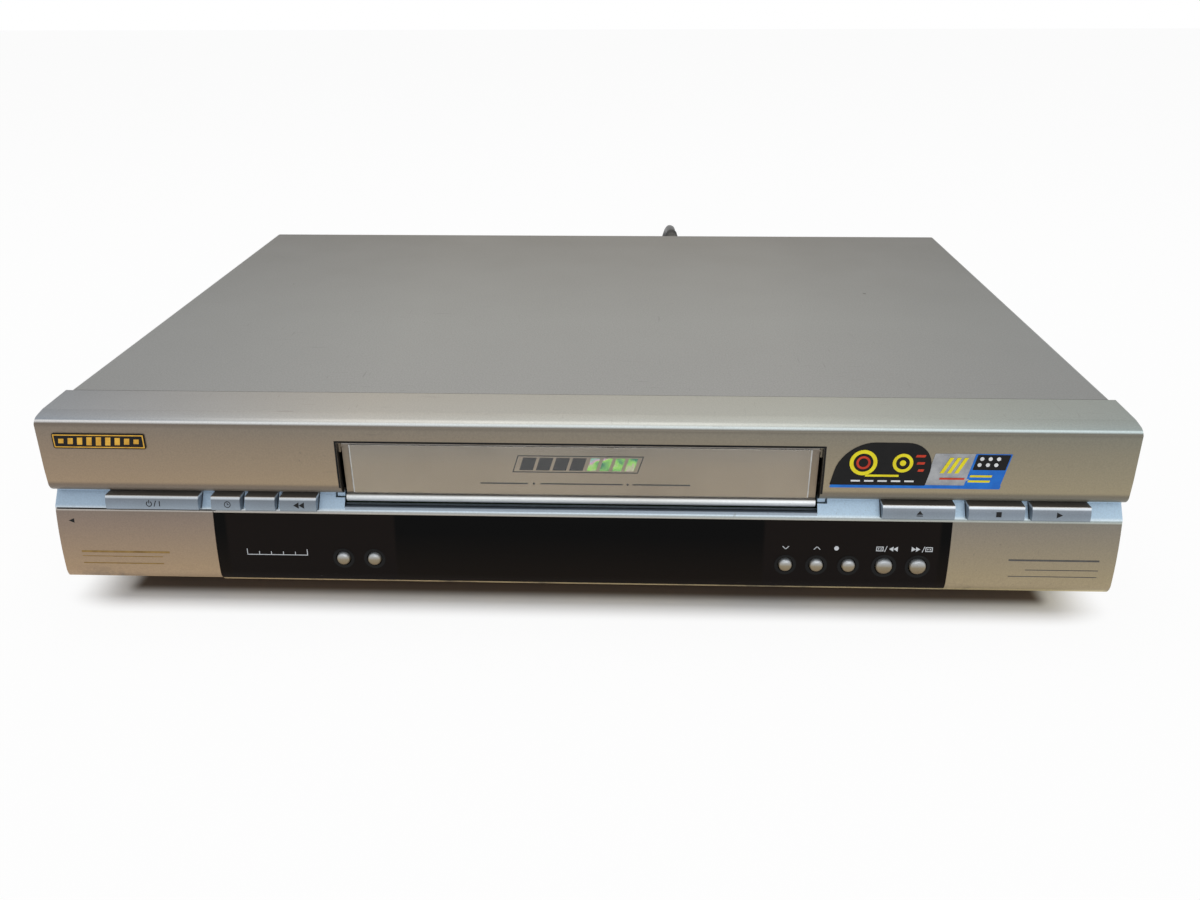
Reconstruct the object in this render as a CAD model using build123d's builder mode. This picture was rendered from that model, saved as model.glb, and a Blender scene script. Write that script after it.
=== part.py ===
from build123d import *
from math import acos, atan2, cos, degrees, pi, radians, sin, sqrt, tan
import os

os.makedirs("parts", exist_ok=True)

# Overall sizes, in millimetres; X runs along the front, Y to the back, Z up from the floor
width = 430.0
height = 81.4
body_depth = 293.0
button_proud = 1.5
socket_reach = 8.0
foot_height = 9.5

# Clearances
gap = 0.3
side_gap = 0.35
shaft_fit = 0.05

# Sheet and wall thicknesses
wall = 2.4
steel = 1.0
board = 1.6
deck_steel = 1.2

# The front's section, as depths behind its top edge and heights over the floor
seam_depth = 26.5
crown_depth = 8.0
crown_drop = 0.45
bead_depth = 3.2
bead_drop = 1.25
edge_z = 77.7
chin_z = 52.2
chin_ahead = 1.2
groove_depth = 3.4
groove_top_z = 47.9
ledge_top_z = 46.7
ledge_z = 41.2
ledge_ahead = 0.8
belly_z = 13.2
belly_ahead = 4.4
lower_lip_z = 8.6

# Y of the front's top edge, so that the whole body is centred on the origin
nose = belly_ahead - 0.35 + button_proud
face_y = nose - (nose + body_depth + socket_reach) / 2
seam_y = face_y + seam_depth
rear_y = face_y + body_depth


def save(made, name):
    made.part.label = name
    export_step(made.part, f"parts/{name}.step")


# A box between its low and high sides on each axis
def block(x, y, z, mode=Mode.ADD):
    with Locations(((x[0] + x[1]) / 2, (y[0] + y[1]) / 2, (z[0] + z[1]) / 2)):
        Box(x[1] - x[0], y[1] - y[0], z[1] - z[0], mode=mode)


# Round bars and holes along the three axes
def upright(radius, x, y, z, mode=Mode.ADD):
    with Locations((x, y, z[0])):
        Cylinder(radius, z[1] - z[0], align=(Align.CENTER, Align.CENTER, Align.MIN), mode=mode)


def along_y(radius, x, y, z, mode=Mode.ADD):
    with Locations((x, (y[0] + y[1]) / 2, z)):
        Cylinder(radius, y[1] - y[0], rotation=(90, 0, 0), mode=mode)


def along_x(radius, x, y, z, mode=Mode.ADD):
    with Locations(((x[0] + x[1]) / 2, y, z)):
        Cylinder(radius, x[1] - x[0], rotation=(0, 90, 0), mode=mode)


# A span that is wider than another by a margin at both ends
def grown(span, margin):
    return (span[0] - margin, span[1] + margin)


# The front's outer section, shared by the front panel, the window and the flap
with BuildSketch(Plane.YZ) as front_section:
    with BuildLine():
        crown = (face_y + crown_depth, height - crown_drop)
        bead = (face_y + bead_depth, height - bead_drop)
        chin = (face_y - chin_ahead, chin_z)
        groove = (face_y + groove_depth, groove_top_z)
        ledge = (face_y - ledge_ahead, ledge_z)
        brow = (face_y - ledge_ahead - 0.1, ledge_z - 0.9)
        belly = (face_y - belly_ahead, belly_z)
        lip = (face_y - belly_ahead + 2.0, lower_lip_z)
        Polyline((seam_y, lower_lip_z), (seam_y, height), crown, bead)
        TangentArc(bead, (face_y - 0.1, edge_z), tangent=(bead[0] - crown[0], bead[1] - crown[1]))
        Polyline((face_y - 0.1, edge_z), (face_y - chin_ahead, chin_z + 6.6), chin)
        TangentArc(chin, groove, tangent=(0, -1))
        Polyline(groove, (groove[0], ledge_top_z), ledge, brow)
        ThreePointArc(brow, (face_y - 3.2, (ledge_z + belly_z) / 2 + 0.8), belly)
        TangentArc(belly, lip, tangent=(0, -1))
        Line(lip, (seam_y, lower_lip_z))
    make_face()

# Openings in the front
door_middle = -0.35
doorway_x = (door_middle - 95.25, door_middle + 95.25)
doorway_z = (42.3, 71.2)
window_x = (-149.7, 148.5)
window_z = (9.9, 39.4)
window_border = 3.0
window_back_y = face_y + 1.2
flap_x = (-width / 2, window_x[0] - 0.2)
flap_z = (9.9, ledge_z - 0.9)
flap_back_y = face_y + 1.0
bay_x = (flap_x[0] + 3.0, flap_x[1] - 2.4)
bay_z = (flap_z[0] + 5.3, flap_z[1] - 1.6)
bay_floor_y = face_y + 22.0
flap_pin_radius = 0.9
flap_pin_length = 1.8
flap_pin_y = face_y + 3.2
flap_pin_z = 11.0
lug_width = 2.0
jack_radius = 4.15
jack_spread = (bay_x[1] - bay_x[0]) / 59.7
jack_pitch = 18.0 * jack_spread
jacks_x = bay_x[0] + 12.0 * jack_spread
jacks_z = 26.0

# Press buttons: names with their span along the ledge, and the round ones in the window
press_travel = 1.2
ledge_keys = {
    "power_button": (-192.5, -154.5),
    "timer_button": (-149.2, -137.4),
    "search_button": (-135.3, -123.2),
    "fast_rewind_button": (-121.2, -106.4),
    "eject_button": (120.0, 148.4),
    "stop_button": (153.7, 175.6),
    "play_button": (178.5, 201.3),
}
small_radius = 2.7
large_radius = 3.35
round_key_z = 20.5
round_keys = {
    "tape_mode_button": (-97.4, small_radius),
    "picture_mode_button": (-84.6, small_radius),
    "channel_down_button": (83.2, small_radius),
    "channel_up_button": (95.7, small_radius),
    "record_button": (108.6, small_radius),
    "rewind_button": (122.9, large_radius),
    "forward_button": (136.4, large_radius),
}
ledge_key_top = ledge_top_z + 0.6
ledge_key_bottom = ledge_z + 0.25
front_board_y = face_y + 12.2
switch_height = 3.0
switch_y = front_board_y - switch_height
plunger_end_y = switch_y - press_travel - gap

# The cassette door's hinge line, near the top of the door
door_x = grown(doorway_x, -1.0)
door_z = (43.9, 70.1)
door_front_y = face_y + 1.6
door_glass = 1.0
door_leaf = 1.8
door_pin_radius = 0.9
door_pin_length = 2.2
door_pin_y = face_y + 3.4
door_pin_z = door_z[1] - 0.5 - 1.0

# Front panel: a moulded shell with the doorway, window rebate, flap bay and button holes
cavity_y = face_y + 2.4
groove_wall_y = face_y + groove_depth + wall
key_wall_z = (ledge_z - 1.2, chin_z + 2.0)
with BuildPart() as front_panel:
    extrude(front_section.sketch, amount=width / 2, both=True)
    with BuildSketch(Plane.YZ):
        with BuildLine():
            Polyline(
                (seam_y, lower_lip_z + wall),
                (seam_y, height - wall),
                (cavity_y + 3.0, height - wall - 1.0),
                (cavity_y, edge_z - 1.0),
                (cavity_y, key_wall_z[1] + 2.0),
                (groove_wall_y, key_wall_z[1]),
                (groove_wall_y, key_wall_z[0]),
                (window_back_y + wall, key_wall_z[0] - 2.0),
                (window_back_y + wall, lower_lip_z + wall),
                close=True,
            )
        make_face()
    extrude(amount=width / 2 - wall, both=True, mode=Mode.SUBTRACT)
    block(doorway_x, (face_y - nose, seam_y), doorway_z, Mode.SUBTRACT)
    block(grown(doorway_x, 4.0), (cavity_y, seam_y), (doorway_z[0] - 1.0, doorway_z[1] + 2.0), Mode.SUBTRACT)
    block(grown(window_x, 0.15), (face_y - nose, window_back_y), grown(window_z, 0.15), Mode.SUBTRACT)
    block(grown(window_x, -window_border), (face_y, seam_y), grown(window_z, -window_border), Mode.SUBTRACT)
    block(
        (flap_x[0] + wall, flap_x[1]),
        (face_y - nose, flap_pin_y + 4.0),
        (0, bay_z[0] - wall / 2),
        Mode.SUBTRACT,
    )
    flap_clear_x = (flap_x[0], flap_x[1] + gap)
    block(flap_clear_x, (face_y - nose, flap_pin_y + 1.6), (0, flap_z[0] - gap), Mode.SUBTRACT)
    block((bay_x[0] - wall, bay_x[1] + wall), (face_y, bay_floor_y + wall), grown(bay_z, wall / 2))
    block(bay_x, (face_y - nose, bay_floor_y), bay_z, Mode.SUBTRACT)
    block(flap_clear_x, (face_y - nose, face_y + 2.1), grown(flap_z, gap), Mode.SUBTRACT)
    block(
        (flap_x[1], flap_x[1] + 3.4),
        (window_back_y + 0.4, flap_pin_y + 2.4),
        (lower_lip_z, flap_pin_z + 2.4),
    )
    along_x(
        flap_pin_radius + shaft_fit,
        (flap_x[0] + wall - flap_pin_length - gap, flap_x[0] + wall + 0.1),
        flap_pin_y,
        flap_pin_z,
        Mode.SUBTRACT,
    )
    along_x(
        flap_pin_radius + shaft_fit,
        (flap_x[1] - 0.1, flap_x[1] + flap_pin_length + gap),
        flap_pin_y,
        flap_pin_z,
        Mode.SUBTRACT,
    )
    for key_x in ledge_keys.values():
        block(
            grown(key_x, side_gap),
            (face_y - nose, seam_y - 12.0),
            (ledge_key_bottom - side_gap, ledge_key_top + side_gap),
            Mode.SUBTRACT,
        )
    for jack in range(3):
        jack_x = jacks_x + jack * jack_pitch
        along_y(3.0, jack_x, (bay_floor_y - 1.0, bay_floor_y + wall), jacks_z, Mode.SUBTRACT)
    for ear_x in ((door_x[0] - gap - 4.0, door_x[0] - gap), (door_x[1] + gap, door_x[1] + gap + 4.0)):
        block(ear_x, (cavity_y - 0.4, door_pin_y + 2.4), grown((door_pin_z, door_pin_z), 2.4))
    along_x(
        door_pin_radius + shaft_fit,
        grown(door_x, door_pin_length + gap),
        door_pin_y,
        door_pin_z,
        Mode.SUBTRACT,
    )
    for post_x in (-140.0, -70.0, 70.0, 140.0):
        along_y(2.0, post_x, (window_back_y + 1.0, front_board_y), window_z[0] + 1.2)
save(front_panel, "front_panel")

# Smoked window, filling its rebate, with a hole for each round button
round_hole = 0.35
with BuildPart() as display_window:
    extrude(front_section.sketch, amount=width / 2, both=True)
    block(window_x, (face_y - nose, window_back_y), window_z, Mode.INTERSECT)
    for key_x, key_radius in round_keys.values():
        along_y(key_radius + round_hole, key_x, (face_y - nose, seam_y), round_key_z, Mode.SUBTRACT)
save(display_window, "display_window")

# Round buttons: a domed face, a collar behind the window and a plunger
def round_button(name, key_x, key_radius):
    with BuildPart() as round_key:
        with BuildSketch(Plane.XY):
            with BuildLine():
                front = nose
                Polyline((0, -front), (key_radius - 1.2, -front))
                TangentArc((key_radius - 1.2, -front), (key_radius, 1.2 - front), tangent=(1, 0))
                collar_y = window_back_y - face_y + gap
                Polyline(
                    (key_radius, 1.2 - front),
                    (key_radius, collar_y),
                    (key_radius + 1.0, collar_y),
                    (key_radius + 1.0, collar_y + 1.0),
                    (1.6, collar_y + 1.0),
                    (1.6, plunger_end_y - face_y),
                    (0, plunger_end_y - face_y),
                    (0, -front),
                )
            make_face()
        revolve(axis=Axis.Y)
    round_key.part = round_key.part.moved(Location((key_x, face_y, round_key_z)))
    save(round_key, name)


for name, (key_x, key_radius) in round_keys.items():
    round_button(name, key_x, key_radius)

# Ledge buttons: a convex sloping face under a flat top, with a flange inside the wall
def ledge_button(name, key_x):
    with BuildPart() as ledge_key:
        with BuildSketch(Plane.YZ.offset(key_x[0])):
            with BuildLine():
                top_front = (face_y - 1.5, ledge_key_top)
                foot = (face_y - 2.9, ledge_key_bottom)
                Polyline(foot, (plunger_end_y, ledge_key_bottom), (plunger_end_y, ledge_key_top), top_front)
                ThreePointArc(top_front, (face_y - 2.6, (ledge_key_top + ledge_key_bottom) / 2 + 0.4), foot)
            make_face()
        extrude(amount=key_x[1] - key_x[0])
        fillet(ledge_key.edges().group_by(Axis.Y)[0], 0.5)
        block(
            grown(key_x, side_gap + 0.6),
            (groove_wall_y + gap, plunger_end_y),
            (ledge_key_bottom - 0.8, ledge_key_top + 0.8),
        )
    save(ledge_key, name)


for name, key_x in ledge_keys.items():
    ledge_button(name, key_x)

# Cassette door: a leaf with a rounded lower bar and a hinge pin at each end
with BuildPart() as cassette_door:
    leaf_y = door_front_y + door_glass
    block(door_x, (leaf_y, leaf_y + door_leaf), door_z)
    bar_top = door_z[0] + 3.6
    with BuildSketch(Plane.YZ.offset(door_x[0])):
        with BuildLine():
            Polyline((leaf_y, door_z[0]), (leaf_y, bar_top), (door_front_y - 0.3, bar_top))
            Line((door_front_y - 0.3, bar_top), (door_front_y - 0.9, bar_top - 1.2))
            TangentArc((door_front_y - 0.9, bar_top - 1.2), (leaf_y, door_z[0]), tangent=(0, -1))
        make_face()
    extrude(amount=door_x[1] - door_x[0])
    along_x(door_pin_radius, (door_x[0] - door_pin_length, door_x[0] + 1.0), door_pin_y, door_pin_z)
    along_x(door_pin_radius, (door_x[1] - 1.0, door_x[1] + door_pin_length), door_pin_y, door_pin_z)
save(cassette_door, "cassette_door")

# Clear panel on the front of the door
glass_x = grown(door_x, -2.9)
with BuildPart() as door_panel:
    block(glass_x, (door_front_y, leaf_y), (bar_top + gap, door_z[1] - 0.6))
    fillet(door_panel.edges().filter_by(Axis.Y), 0.6)
save(door_panel, "door_panel")

# Flap over the front sockets, with a hinge lug at each end of its lower edge
with BuildPart() as front_flap:
    extrude(front_section.sketch, amount=width / 2, both=True)
    block(flap_x, (face_y - nose, flap_back_y), flap_z, Mode.INTERSECT)
    for lug_x, pin_x in (
        ((flap_x[0] + wall + gap, flap_x[0] + wall + gap + lug_width), flap_x[0] + wall - flap_pin_length),
        ((flap_x[1] - gap - lug_width, flap_x[1] - gap), flap_x[1] + flap_pin_length),
    ):
        block(lug_x, (flap_back_y - 0.5, flap_pin_y + 1.2), grown((flap_pin_z, flap_pin_z), 1.1))
        along_x(flap_pin_radius, (min(lug_x[0], pin_x), max(lug_x[1], pin_x)), flap_pin_y, flap_pin_z)
save(front_flap, "front_flap")

# Phono sockets behind the flap
with BuildPart() as front_jacks:
    for jack in range(3):
        jack_x = jacks_x + jack * jack_pitch
        along_y(jack_radius, jack_x, (bay_floor_y - 10.0, bay_floor_y), jacks_z)
        along_y(3.0 - 0.1, jack_x, (bay_floor_y, bay_floor_y + wall + 8.0), jacks_z)
        along_y(1.6, jack_x, (bay_floor_y - 10.0, bay_floor_y - 1.0), jacks_z, Mode.SUBTRACT)
save(front_jacks, "front_jacks")

# Board behind the window, with an ear behind each row of ledge buttons
with BuildPart() as front_board:
    board_y = (front_board_y, front_board_y + board)
    block((-146.0, 146.0), board_y, (12.0, 41.0))
    block((-196.0, -104.0), board_y, (40.6, 49.0))
    block((104.0, 204.0), board_y, (40.6, 49.0))
save(front_board, "front_board")

with BuildPart() as display_module:
    block((-72.0, 72.0), (front_board_y - 5.0, front_board_y), (14.0, 36.0))
    block((-66.0, 66.0), (front_board_y - 5.6, front_board_y - 5.0), (16.5, 33.5))
save(display_module, "display_module")

with BuildPart() as key_switches:
    key_places = [(sum(key_x) / 2, (ledge_key_bottom + ledge_key_top) / 2) for key_x in ledge_keys.values()]
    key_places += [(key_x, round_key_z) for key_x, key_radius in round_keys.values()]
    for key_x, key_z in key_places:
        block(grown((key_x, key_x), 3.0), (switch_y, front_board_y), grown((key_z, key_z), 3.0))
save(key_switches, "key_switches")

# Casing: the pan, the wrapped cover and the rear panel
cover_x = width / 2 - 1.5
cover_inner_x = cover_x - steel
pan_z = (foot_height, foot_height + steel)
flange_height = 12.0
rear_panel_y = (rear_y - steel - 1.5, rear_y - steel)
board_z = (16.0, 16.0 + board)
deck_z = (19.8, 19.8 + deck_steel)
deck_x = 104.0
deck_y = (face_y + 28.0, face_y + 240.0)
deck_posts = [(x, y) for x in (-92.0, 92.0) for y in (deck_y[0] + 8.0, face_y + 140.0, deck_y[1] - 8.0)]
board_outer_x = cover_inner_x - 4.5
board_inner_x = deck_x + 4.0
boards_meet_x = 18.0
board_post_x = board_outer_x - 8.0
rear_post_y = rear_y - 17.0
board_back_y = rear_panel_y[0] - 2.0
left_board_posts = [
    (-board_post_x, face_y + 44.0),
    (-board_inner_x - 8.0, face_y + 44.0),
    (-board_post_x, rear_post_y),
    (boards_meet_x - 10.0, rear_post_y),
]
right_board_posts = [
    (board_inner_x + 8.0, face_y + 140.0),
    (board_post_x, face_y + 140.0),
    (board_post_x, rear_post_y),
    (boards_meet_x + 10.0, rear_post_y),
]
with BuildPart() as bottom_chassis:
    pan_y = (seam_y, rear_panel_y[1])
    block((-cover_inner_x, cover_inner_x), pan_y, pan_z)
    for side in (-1, 1):
        side_x = sorted((side * (cover_inner_x - steel), side * cover_inner_x))
        block(side_x, (pan_y[0], rear_panel_y[0]), (pan_z[0], pan_z[1] + flange_height))
    for post_x, post_y in deck_posts:
        upright(4.0, post_x, post_y, (pan_z[1], deck_z[0]))
    for post_x, post_y in left_board_posts + right_board_posts:
        upright(3.0, post_x, post_y, (pan_z[1], board_z[0]))
save(bottom_chassis, "bottom_chassis")

# Connectors along the back
tuner_x = (-board_outer_x + 4.0, -board_outer_x + 66.0)
tuner_depth = 49.0
tuner_height = 26.0
aerial_radius = 4.75
aerial_shoulder = 5.4
aerial_places = [(tuner_x[0] + 14.0, 30.0), (tuner_x[0] + 42.0, 30.0)]
scart_places = [tuner_x[1] + 34.0, tuner_x[1] + 94.0]
scart_size = (47.0, 16.0)
scart_body = 20.0
rear_jack_x = tuner_x[1] + 145.0
rear_jack_places = [(rear_jack_x, 28.0), (rear_jack_x, 44.0)]
lead_x = 46.5
lead_z = 72.0
lead_diameter = 6.2
bush_radius = 5.5
bush_flange = 7.5
socket_margin = 1.0
vent_x = cover_inner_x - 62.5
vent_z = 45.0
vent_pitch = 8.0
vent_count = 12
vent_width = 3.0
vent_height = 30.0
with BuildPart() as rear_panel:
    block((-cover_inner_x, cover_inner_x), rear_panel_y, (pan_z[1], height - steel))
    for socket_x, socket_z in aerial_places:
        along_y(aerial_radius + socket_margin, socket_x, grown(rear_panel_y, 1.0), socket_z, Mode.SUBTRACT)
    for socket_x in scart_places:
        block(
            grown((socket_x, socket_x), scart_size[0] / 2 + 0.5),
            grown(rear_panel_y, 1.0),
            (board_z[1], board_z[1] + scart_size[1] + 0.5),
            Mode.SUBTRACT,
        )
    for socket_x, socket_z in rear_jack_places:
        along_y(jack_radius + socket_margin, socket_x, grown(rear_panel_y, 1.0), socket_z, Mode.SUBTRACT)
    along_y(bush_radius + shaft_fit, lead_x, grown(rear_panel_y, 1.0), lead_z, Mode.SUBTRACT)
    with Locations((vent_x, sum(rear_panel_y) / 2, vent_z)):
        with GridLocations(vent_pitch, 0, vent_count, 1):
            Box(vent_width, 4.0, vent_height, mode=Mode.SUBTRACT)
save(rear_panel, "rear_panel")

# Cover wrapped over the top and sides, with a lip down over the rear panel
rear_lip = 9.0
cover_corner = 2.0
cover_front_y = seam_y + 0.25
with BuildPart() as top_cover:
    with BuildSketch(Plane.XZ.offset(-cover_front_y)):
        with BuildLine():
            FilletPolyline(
                (-cover_x, pan_z[0]),
                (-cover_x, height),
                (cover_x, height),
                (cover_x, pan_z[0]),
                radius=cover_corner,
            )
            Line((cover_x, pan_z[0]), (-cover_x, pan_z[0]))
        make_face()
    extrude(amount=-(rear_y - cover_front_y))
    block(
        (-cover_inner_x, cover_inner_x),
        (seam_y - 1.0, rear_panel_y[1]),
        (0, height - steel),
        Mode.SUBTRACT,
    )
    lip_y = (rear_panel_y[1] - 1.0, rear_y + 1.0)
    block((-cover_inner_x, cover_inner_x), lip_y, (0, height - rear_lip), Mode.SUBTRACT)
    along_y(bush_flange + gap, lead_x, (rear_panel_y[1], rear_y + 1.0), lead_z, Mode.SUBTRACT)
save(top_cover, "top_cover")

# Feet under the pan
foot_radius = 14.0
foot_x = cover_inner_x - 47.5
foot_places = [(x, y) for x in (-foot_x, foot_x) for y in (face_y + 52.0, rear_y - 40.0)]
with BuildPart() as feet:
    for place_x, place_y in foot_places:
        upright(foot_radius, place_x, place_y, (0, foot_height))
    chamfer(feet.edges().group_by(Axis.Z)[0], 1.5)
save(feet, "feet")

# Screws through the cover: two on each side and three along the rear lip
screw_head = 4.0
with BuildPart() as cover_screws:
    for side in (-1, 1):
        for screw_y in (seam_y + 40.0, rear_y - 45.0):
            along_x(screw_head, sorted((side * cover_x, side * (cover_x + 1.5))), screw_y, 18.0)
    for screw_x in (17.5 - cover_inner_x, -20.0, cover_inner_x - 17.5):
        along_y(screw_head, screw_x, (rear_y, rear_y + 1.5), height - 4.6)
save(cover_screws, "cover_screws")

# Boards: the main board at the left and back, the power board at the right
with BuildPart() as main_board:
    block((-board_outer_x, -board_inner_x), (face_y + 36.0, board_back_y), board_z)
    block((-board_inner_x, boards_meet_x - 2.0), (deck_y[1] + 4.0, board_back_y), board_z)
    for chip_x, chip_y, chip_size in ((-160.0, 80.0, 22.0), (-150.0, 130.0, 16.0), (-170.0, 190.0, 28.0)):
        block(
            grown((chip_x, chip_x), chip_size / 2),
            grown((face_y + chip_y, face_y + chip_y), chip_size / 2),
            (board_z[1], board_z[1] + 2.6),
        )
save(main_board, "main_board")

with BuildPart() as power_board:
    block((board_inner_x, board_outer_x), (face_y + 130.0, board_back_y), board_z)
    block((boards_meet_x + 2.0, board_inner_x), (deck_y[1] + 4.0, board_back_y), board_z)
save(power_board, "power_board")

with BuildPart() as transformer:
    core_x = (board_inner_x + 4.0, board_inner_x + 50.0)
    core_y = (face_y + 176.0, face_y + 216.0)
    block(core_x, core_y, (board_z[1], board_z[1] + 32.0))
    block(grown(core_x, -6.0), grown(core_y, 6.0), (board_z[1] + 5.0, board_z[1] + 27.0))
save(transformer, "transformer")

with BuildPart() as capacitors:
    for can_x, can_y, can_radius, can_height in (
        (board_outer_x - 16.0, 160.0, 11.0, 34.0),
        (board_outer_x - 12.0, 190.0, 8.0, 25.0),
        (board_outer_x - 12.0, 212.0, 8.0, 25.0),
        (board_inner_x + 16.0, 150.0, 6.5, 20.0),
        (board_inner_x + 36.0, 150.0, 6.5, 20.0),
    ):
        upright(can_radius, can_x, face_y + can_y, (board_z[1], board_z[1] + can_height))
save(capacitors, "capacitors")

with BuildPart() as tuner_can:
    block(tuner_x, (rear_y - tuner_depth, board_back_y), (board_z[1], board_z[1] + tuner_height))
    for socket_x, socket_z in aerial_places:
        along_y(aerial_shoulder, socket_x, (rear_panel_y[0] - 3.0, rear_y), socket_z)
        along_y(aerial_radius, socket_x, (rear_panel_y[0] - 3.0, rear_y + socket_reach), socket_z)
        along_y(aerial_radius - 1.2, socket_x, (rear_y - 4.0, rear_y + socket_reach), socket_z, Mode.SUBTRACT)
        along_y(1.1, socket_x, (rear_y - 5.0, rear_y + socket_reach - 1.5), socket_z)
save(tuner_can, "tuner_can")

scart_wall = 1.5
scart_depth = 14.0
with BuildPart() as scart_sockets:
    for socket_x in scart_places:
        socket_z = (board_z[1], board_z[1] + scart_size[1])
        socket_sides = grown((socket_x, socket_x), scart_size[0] / 2)
        block(socket_sides, (rear_y - scart_body, rear_y), socket_z)
        block(
            grown(socket_sides, -scart_wall),
            (rear_y - scart_depth, rear_y),
            grown(socket_z, -scart_wall),
            Mode.SUBTRACT,
        )
save(scart_sockets, "scart_sockets")

with BuildPart() as rear_jacks:
    jack_block_x = grown((rear_jack_x, rear_jack_x), 9.0)
    block(jack_block_x, (rear_panel_y[0] - 14.0, rear_panel_y[0] - gap), (board_z[1], board_z[1] + 34.0))
    for socket_x, socket_z in rear_jack_places:
        along_y(jack_radius, socket_x, (rear_panel_y[0] - 1.0, rear_y + socket_reach), socket_z)
        along_y(1.6, socket_x, (rear_y - 2.0, rear_y + socket_reach), socket_z, Mode.SUBTRACT)
save(rear_jacks, "rear_jacks")

# Deck plate of the tape mechanism, on posts from the pan
reel_x = 45.5
reel_y = face_y + 109.5
reel_shaft = 3.0
drum_y = face_y + 205.0
drum_radius = 31.0
drum_tilt = 5.0
capstan_x = 62.0
capstan_y = face_y + 178.0
capstan_radius = 1.5
guide_start = (24.0, face_y + 148.0)
guide_end = (46.0, face_y + 200.0)
guide_travel = sqrt((guide_end[0] - guide_start[0]) ** 2 + (guide_end[1] - guide_start[1]) ** 2)
guide_angle = degrees(atan2(guide_end[1] - guide_start[1], guide_end[0] - guide_start[0]))
keel_radius = 2.2
arm_pivot = (78.0, face_y + 200.0)
arm_length = 23.0
arm_rest_angle = -82.0
roller_radius = 7.5
roller_at = (
    arm_pivot[0] + arm_length * cos(radians(arm_rest_angle)),
    arm_pivot[1] + arm_length * sin(radians(arm_rest_angle)),
)
clutch_at = (8.0, face_y + 120.0)
clutch_shaft = 2.0
pinion_teeth = 12
mode_teeth = 40
tooth_module = 0.8
motor_at = (-84.0, face_y + 226.0)
mesh_distance = tooth_module * (pinion_teeth + mode_teeth) / 2 + 0.15
mode_angle = -30.0
mode_at = (
    motor_at[0] + mesh_distance * cos(radians(mode_angle)),
    motor_at[1] + mesh_distance * sin(radians(mode_angle)),
)
mode_shaft = 2.0
with BuildPart() as deck_chassis:
    block((-deck_x, deck_x), deck_y, deck_z)
    for side in (-1, 1):
        upright(reel_shaft + shaft_fit, side * reel_x, reel_y, grown(deck_z, 1.0), Mode.SUBTRACT)
        slot_middle = (side * (guide_start[0] + guide_end[0]) / 2, (guide_start[1] + guide_end[1]) / 2)
        slot_angle = guide_angle if side > 0 else 180 - guide_angle
        with BuildSketch(Plane.XY.offset(deck_z[0] - 1)):
            with Locations(Location((slot_middle[0], slot_middle[1], 0), (0, 0, slot_angle))):
                SlotCenterToCenter(guide_travel, 2 * (keel_radius + gap))
        extrude(amount=deck_steel + 2, mode=Mode.SUBTRACT)
    upright(capstan_radius + 1.6, capstan_x, capstan_y, grown(deck_z, 1.0), Mode.SUBTRACT)
    upright(clutch_shaft + shaft_fit, *clutch_at, grown(deck_z, 1.0), Mode.SUBTRACT)
    upright(2.5, *arm_pivot, (deck_z[1], 50.0))
    upright(mode_shaft, *mode_at, (deck_z[1], 51.0))
    upright(mode_shaft + 2.0, *mode_at, (deck_z[1], 45.7))
    upright(4.5, *arm_pivot, (deck_z[1], 29.7))
save(deck_chassis, "deck_chassis")

# Head drum: a fixed lower half on its seat, and the turning upper half with its shaft
drum_plane = Plane(
    origin=(0, drum_y, deck_z[1] + 7.0),
    x_dir=(cos(radians(drum_tilt)), 0, -sin(radians(drum_tilt))),
    z_dir=(sin(radians(drum_tilt)), 0, cos(radians(drum_tilt))),
)
lower_height = 13.0
upper_height = 15.0
drum_shaft = 3.0
with BuildPart() as drum_base:
    with BuildSketch(drum_plane):
        Circle(drum_radius)
    extrude(amount=lower_height)
    with BuildSketch(drum_plane):
        Circle(drum_radius - 9.0)
    extrude(amount=-8.0)
    block((-40.0, 40.0), (drum_y - 34.0, drum_y + 34.0), (0, deck_z[1]), Mode.SUBTRACT)
    block((-36.0, 36.0), (drum_y + 6.0, drum_y + 34.0), (deck_z[1], deck_z[1] + 2.0))
    with BuildSketch(drum_plane.offset(2.0)):
        Circle(drum_shaft + shaft_fit)
    extrude(amount=lower_height, mode=Mode.SUBTRACT)
save(drum_base, "drum_base")

with BuildPart() as head_drum:
    with BuildSketch(drum_plane.offset(lower_height + 0.4)):
        Circle(drum_radius)
    extrude(amount=upper_height)
    with BuildSketch(drum_plane.offset(lower_height + 0.4 + upper_height)):
        Circle(drum_radius - 6.0)
        Circle(9.0, mode=Mode.SUBTRACT)
    extrude(amount=-4.0, mode=Mode.SUBTRACT)
    with BuildSketch(drum_plane.offset(3.0)):
        Circle(drum_shaft)
    extrude(amount=lower_height)
save(head_drum, "head_drum")

# Capstan under and through the deck: stator and bearing, then the shaft with its rotor and pulley
rotor_z = (14.6, 17.4)
pulley_z = (12.2, 14.6)
capstan_pulley = 7.0
clutch_pulley_radius = 12.0
with BuildPart() as capstan_stator:
    upright(19.0, capstan_x, capstan_y, (17.8, deck_z[0]))
    upright(capstan_radius + 1.5, capstan_x, capstan_y, (17.8, deck_z[1] + 9.0))
    upright(5.0, capstan_x, capstan_y, (deck_z[1], deck_z[1] + 9.0))
    upright(capstan_radius + shaft_fit, capstan_x, capstan_y, (0, 60.0), Mode.SUBTRACT)
save(capstan_stator, "capstan_stator")

with BuildPart() as capstan:
    upright(capstan_radius, capstan_x, capstan_y, (pulley_z[0], 52.0))
    upright(22.0, capstan_x, capstan_y, rotor_z)
    upright(capstan_pulley, capstan_x, capstan_y, pulley_z)
save(capstan, "capstan")

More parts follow.
